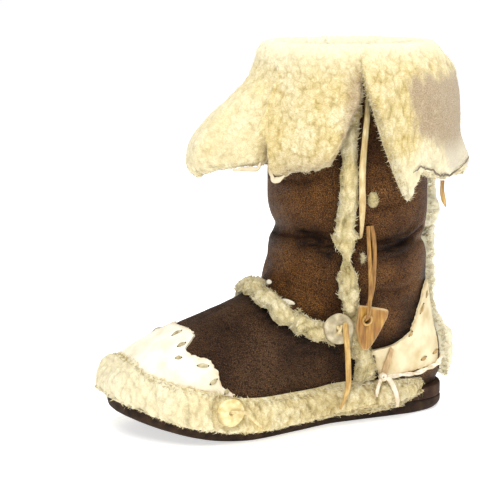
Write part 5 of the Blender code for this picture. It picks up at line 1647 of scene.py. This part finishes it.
HEEL_LACE = table(
    "angle_deg at_ring stand",
    (119, 0.108, 3.2), (127, 0.1, 3.2), (135, 0.088, 3.2), (144, 0.098, 3.6), (150, 0.108, 5.4),
    (156, 0.135, 5.6),
)
HEEL_LACE_THICKNESS, HEEL_LACE_TURNS = 4.2 * MM, 2.5
KNOT_PLACE = np.array([81, -54.2, 40.4]) * MM
KNOT_RADIUS = 3.6 * MM
STRAP_RING, STRAP_ANGLE = (0.222, -0.116), (119.4, -2.2)  # where it starts and how far it goes
STRAP_THICK, STRAP_WIDE = 2.2 * MM, 2.4
LOOP_AXIS = (0.1, 1, 0.05)
NUB_REACH, NUB_RADIUS = (1.9 * MM, 3.4 * MM), 1.3 * MM
TIE_RADIUS, TIE_LEAN, TIE_THICK, TIE_TURNS = 3.9 * MM, 0.6 * MM, 1.9 * MM, 1.15
KNOT_THICK, KNOT_TURNS = 3 * MM, 2.6
UPRIGHT, SIDEWAYS = -DOWN, np.array([0, 1, 0])


def thong_shape(path, thickness, wide, tip, seed):
    """A knife-cut thong along a path: wider than thick, twisting a little, its far end tapered."""
    across, up = directions(path, SIDEWAYS)
    share = np.linspace(0, 1, len(path))
    twist = 0.35 * np.sin(5 * share + seed)[:, None]
    across, up = across * np.cos(twist) + up * np.sin(twist), up * np.cos(twist) - across * np.sin(twist)
    end = 1 - (1 - tip) * ramp(share, 0.72, 1)
    half = thickness / 2 * end * (1 + 0.10 * wander(share, 9, seed))
    corner = circle(14)
    corner = np.sign(corner) * np.abs(corner) ** 0.7
    section = corner * np.stack([half * wide, half / wide**0.5], -1)[:, None]
    marks = np.stack([0.6 + 0 * end, 0.25 * (1 - end) + 0.1, 0 * end], -1)
    return swept_shape(path, across, up, section, marks)


def add_thong(name, finish):
    thickness, wide, tip, route = THONGS[name]
    route = refined(np.array(route, float) * MM, 400)
    path = evenly(route, max(8, round(run_along(route)[-1] / THONG_STEP)))
    shape = thong_shape(path, thickness * MM, wide, tip, len(name))
    made = add_piece(name + "_strip", [shape], finish, [name])


def nub_shapes(place, normal):
    """The crossed turns of a thong that hold a button by its hole."""
    share = np.linspace(0, 1, 24)[:, None]
    shapes = []
    for lean in (-1, 1):
        reach = unit(np.cross(normal, UPRIGHT)) * lean * NUB_REACH[0] + UPRIGHT * NUB_REACH[1]
        arch = np.sin(share * math.pi) * (1.7 + 0.5 * lean) * MM
        path = place + reach * (1 - 2 * share) + normal * arch
        shapes.append(tube_shape(path, NUB_RADIUS, LOOP_AXIS))
    return shapes


def make_thongs():
    pale = thong_hide("pale thong", "#e8dcaa", "#c8ac74")
    tan = thong_hide("tan thong", "#d8b56e", "#a07a38")
    brown = thong_hide("brown thong", "#b38843", "#755022")
    lace = thong_hide("lace", "#faf5e6", "#e2d4b0")
    add_thong("thong_side", pale)
    add_thong("thong_toggle", brown)
    add_thong("thong_button", tan)
    add_thong("thong_rand", pale)
    for name, finish in (
        ("thong_inner", tan), ("thong_cuff", tan), ("lace_tail_long", lace), ("lace_tail_short", lace)
    ):
        add_thong(name, finish)
    for name, side, sink in BAND_BUTTONS:
        ring, angle = BAND_BUTTON[0], side * BAND_BUTTON[1]
        place = upper_point(ring, angle, ON_BAND + BUTTON_THICK - sink)
        add_piece(name + "_nub", nub_shapes(place, upper_normal(ring, angle)), pale)
    make_tie(tan)


def make_tie(finish):
    """The thong's turns through the toggle's hole."""
    turn = np.linspace(0, TIE_TURNS * TURN, 60)
    loop = [TIE_RADIUS * np.cos(turn), -TIE_LEAN * np.sin(turn), TIE_RADIUS * np.sin(turn)]
    centre = np.array([TOGGLE_HOLE[0], TOGGLE_FACE_Y - 1 * MM, TOGGLE_HOLE[1]])
    wraps = tube_shape(centre + np.stack(loop, -1), TIE_THICK / 2, LOOP_AXIS)
    add_piece("toggle_tie", [wraps], finish)


def make_heel_laces():
    lace = thong_hide("lace", "#faf5e6", "#e2d4b0")
    place = np.linspace(0, 1, 90)
    angles, rings, stand = spread(HEEL_LACE, place, " ".join(HEEL_LACE))
    for name, side in (("heel_lace_outer", 1), ("heel_lace_inner", -1)):
        path = upper_point(rings, side * angles, stand)
        across, up = directions(path, UPRIGHT)
        strands = []
        for phase in (0, math.pi):
            turn = HEEL_LACE_TURNS * TURN * place[:, None] + phase
            strand = path + (across * np.cos(turn) + up * np.sin(turn)) * HEEL_LACE_THICKNESS * 0.2
            section = circle(10) * HEEL_LACE_THICKNESS * 0.3
            strands.append(swept_shape(strand, across, up, section, (0.6, 0.05, 0.5)))
        add_piece(name + "_twist", strands, lace, [name])
    make_knot(lace)
    make_strap()


def make_knot(finish):
    turn = np.linspace(0, KNOT_TURNS * TURN, 110)
    radius = KNOT_RADIUS * 0.5
    depth = -1.6 * MM * np.sin(0.43 * turn) - 0.8 * MM
    wrap = np.stack([radius * np.cos(turn), depth, radius * 1.15 * np.sin(turn)], -1)
    shape = tube_shape(KNOT_PLACE + wrap, KNOT_THICK / 2, (0.1, 1, 0), (0.6, 0.1, 0.5))
    add_piece("lace_knot_turns", [shape], finish, ["lace_knot"])


def make_strap():
    share = np.linspace(1, 0, 40)
    ring, angle = (start + change * share for start, change in (STRAP_RING, STRAP_ANGLE))
    rise = upper_point(ring, np.radians(angle), (2.2 + 1.8 * np.sin(share * math.pi) ** 0.5) * MM)
    strap = thong_shape(rise, STRAP_THICK, STRAP_WIDE, 1, 3)
    add_piece("lace_strap", [strap], thong_hide("strap thong", "#d6b98c", "#a98c5e"))


# ---- stage ----
CAMERA_TURN, CAMERA_RISE = math.radians(-24.41), math.radians(9.74)
CAMERA_LENS, CAMERA_SENSOR = 127.15, 36  # in millimetres
TARGET_AHEAD, TARGET_UP = 186.7 * MM, 155 * MM  # of the heel and of the floor
FLOOR_RADII = np.array([0, 0.4, 1.5, 6, 30])[:, None]
WORLD_LIGHT = 0.40
PAPER_GLOW = 0.62
LAMPS_AIM = Vector((0, 0, 0.15))
LAMPS = (  # name, place, size and watts
    ("key", (-0.9, -1.1, 1.8), 0.9, 29),
    ("top", (0.1, -0.2, 1.9), 1.0, 18),
    ("fill", (1.3, -1.2, 0.8), 1.2, 5),
)


def add_aimed(name, data, place, heading):
    """An object at a place that looks along a heading."""
    made = bpy.data.objects.new(name, data)
    made.location = place
    made.rotation_euler = heading.to_track_quat("-Z", "Y").to_euler()
    bpy.context.scene.collection.objects.link(made)
    return made


def make_camera(distance):
    level = math.cos(CAMERA_RISE)
    back = Vector((math.sin(CAMERA_TURN) * level, -math.cos(CAMERA_TURN) * level, math.sin(CAMERA_RISE)))
    target = Vector((HEEL_X - TARGET_AHEAD, MIDDLE_Y, TARGET_UP))
    view = bpy.data.cameras.new("camera")
    view.lens, view.sensor_width = CAMERA_LENS, CAMERA_SENSOR
    view.clip_start, view.clip_end = 0.05, 200
    bpy.context.scene.camera = add_aimed("camera", view, target + back * distance, -back)


def make_floor():
    rings = np.concatenate([circle(129, closed=True) * radius for radius in FLOOR_RADII])
    mesh = bpy.data.meshes.new("floor")
    mesh.from_pydata(raised(rings, 0).tolist(), [], grid_faces(len(FLOOR_RADII), 129).tolist())
    mesh.materials.append(paper_floor())
    floor = bpy.data.objects.new("floor", mesh)
    bpy.context.scene.collection.objects.link(floor)


def make_lights():
    world = bpy.data.worlds.new("soft box")
    world.use_nodes = True
    tree = world.node_tree
    seen = add_node(tree, "LightPath").node.outputs["Is Camera Ray"]
    strength = {0: seen, 1: 1 - WORLD_LIGHT, 2: WORLD_LIGHT}
    strength = add_node(tree, "Math", strength, operation="MULTIPLY_ADD")
    set_inputs(tree.nodes["Background"], {"Strength": strength, "Color": "#ffffff"})
    bpy.context.scene.world = world
    for name, place, size, power in LAMPS:
        lamp = bpy.data.lights.new(name, "AREA")
        lamp.size, lamp.energy = size, power
        add_aimed(name, lamp, place, LAMPS_AIM - Vector(place))
    bpy.context.scene.view_settings.view_transform = "Standard"


# ---- operators ----
class BOOT_OT_hide(bpy.types.Operator):
    """Make the upper's brown hide and its wool lining"""

    bl_idname = "boot.hide"
    bl_label = "Upper"

    def execute(self, context):
        make_hide(context.scene.boot_hide.crease)
        make_lining(context.scene.boot_wool)
        return {"FINISHED"}


class BOOT_OT_sole(bpy.types.Operator):
    """Make the outsole, the heel wedge and the insole"""

    bl_idname = "boot.sole"
    bl_label = "Sole"

    def execute(self, context):
        make_outsole()
        make_wedge()
        make_insole(context.scene.boot_wool)
        return {"FINISHED"}


class BOOT_OT_overlays(bpy.types.Operator):
    """Make the toe cap and the heel counters with their stitches"""

    bl_idname = "boot.overlays"
    bl_label = "Toe cap and counters"

    def execute(self, context):
        make_cap()
        make_counters()
        return {"FINISHED"}


class BOOT_OT_strips(bpy.types.Operator):
    """Make the wool strips over the seams"""

    bl_idname = "boot.strips"
    bl_label = "Wool strips"

    def execute(self, context):
        for make in (make_band, make_side_strip, make_back_strip, make_tufts):
            make(context.scene.boot_wool)
        return {"FINISHED"}


class BOOT_OT_rand(bpy.types.Operator):
    """Make the wool rand round the foot"""

    bl_idname = "boot.rand"
    bl_label = "Rand"

    def execute(self, context):
        make_rand(context.scene.boot_wool)
        return {"FINISHED"}


class BOOT_OT_cuffs(bpy.types.Operator):
    """Make both flaps of the turned-down cuff"""

    bl_idname = "boot.cuffs"
    bl_label = "Cuffs"

    def execute(self, context):
        make_front_cuff(context.scene.boot_wool)
        make_back_cuff(context.scene.boot_wool)
        return {"FINISHED"}


class BOOT_OT_buttons(bpy.types.Operator):
    """Make the bone buttons and the horn toggle"""

    bl_idname = "boot.buttons"
    bl_label = "Buttons and toggle"

    def execute(self, context):
        make_buttons()
        make_toggle()
        return {"FINISHED"}


class BOOT_OT_thongs(bpy.types.Operator):
    """Make the thongs, the heel laces and their knot"""

    bl_idname = "boot.thongs"
    bl_label = "Thongs and laces"

    def execute(self, context):
        make_thongs()
        make_heel_laces()
        return {"FINISHED"}


class BOOT_OT_stage(bpy.types.Operator):
    """Set the camera, the floor and the lights"""

    bl_idname = "boot.stage"
    bl_label = "Stage"

    def execute(self, context):
        make_camera(context.scene.boot_stage.distance)
        make_floor()
        make_lights()
        return {"FINISHED"}


OPERATORS = (
    BOOT_OT_stage, BOOT_OT_hide, BOOT_OT_sole, BOOT_OT_overlays, BOOT_OT_strips, BOOT_OT_rand,
    BOOT_OT_cuffs, BOOT_OT_buttons, BOOT_OT_thongs,
)
SETTINGS = {"boot_wool": BootWool, "boot_hide": BootHide, "boot_stage": BootStage}


class BOOT_PT_panel(bpy.types.Panel):
    """Lists the steps that dress the boot"""

    bl_idname = "BOOT_PT_panel"
    bl_label = "Sheepskin boot"
    bl_space_type = "VIEW_3D"
    bl_region_type = "UI"
    bl_category = "Boot"

    def draw(self, context):
        for name in SETTINGS:
            values = getattr(context.scene, name)
            for key in values.__annotations__:
                self.layout.prop(values, key)
        for step in OPERATORS:
            self.layout.operator(step.bl_idname)


def register():
    for made in (*SETTINGS.values(), *OPERATORS, BOOT_PT_panel):
        bpy.utils.register_class(made)
    for name, group in SETTINGS.items():
        setattr(bpy.types.Scene, name, bpy.props.PointerProperty(type=group))


def unregister():
    for name in SETTINGS:
        delattr(bpy.types.Scene, name)
    for made in (BOOT_PT_panel, *OPERATORS, *SETTINGS.values()):
        bpy.utils.unregister_class(made)


def main():
    register()
    for step in OPERATORS:
        group, name = step.bl_idname.split(".")
        getattr(getattr(bpy.ops, group), name)()


if __name__ == "__main__":
    main()
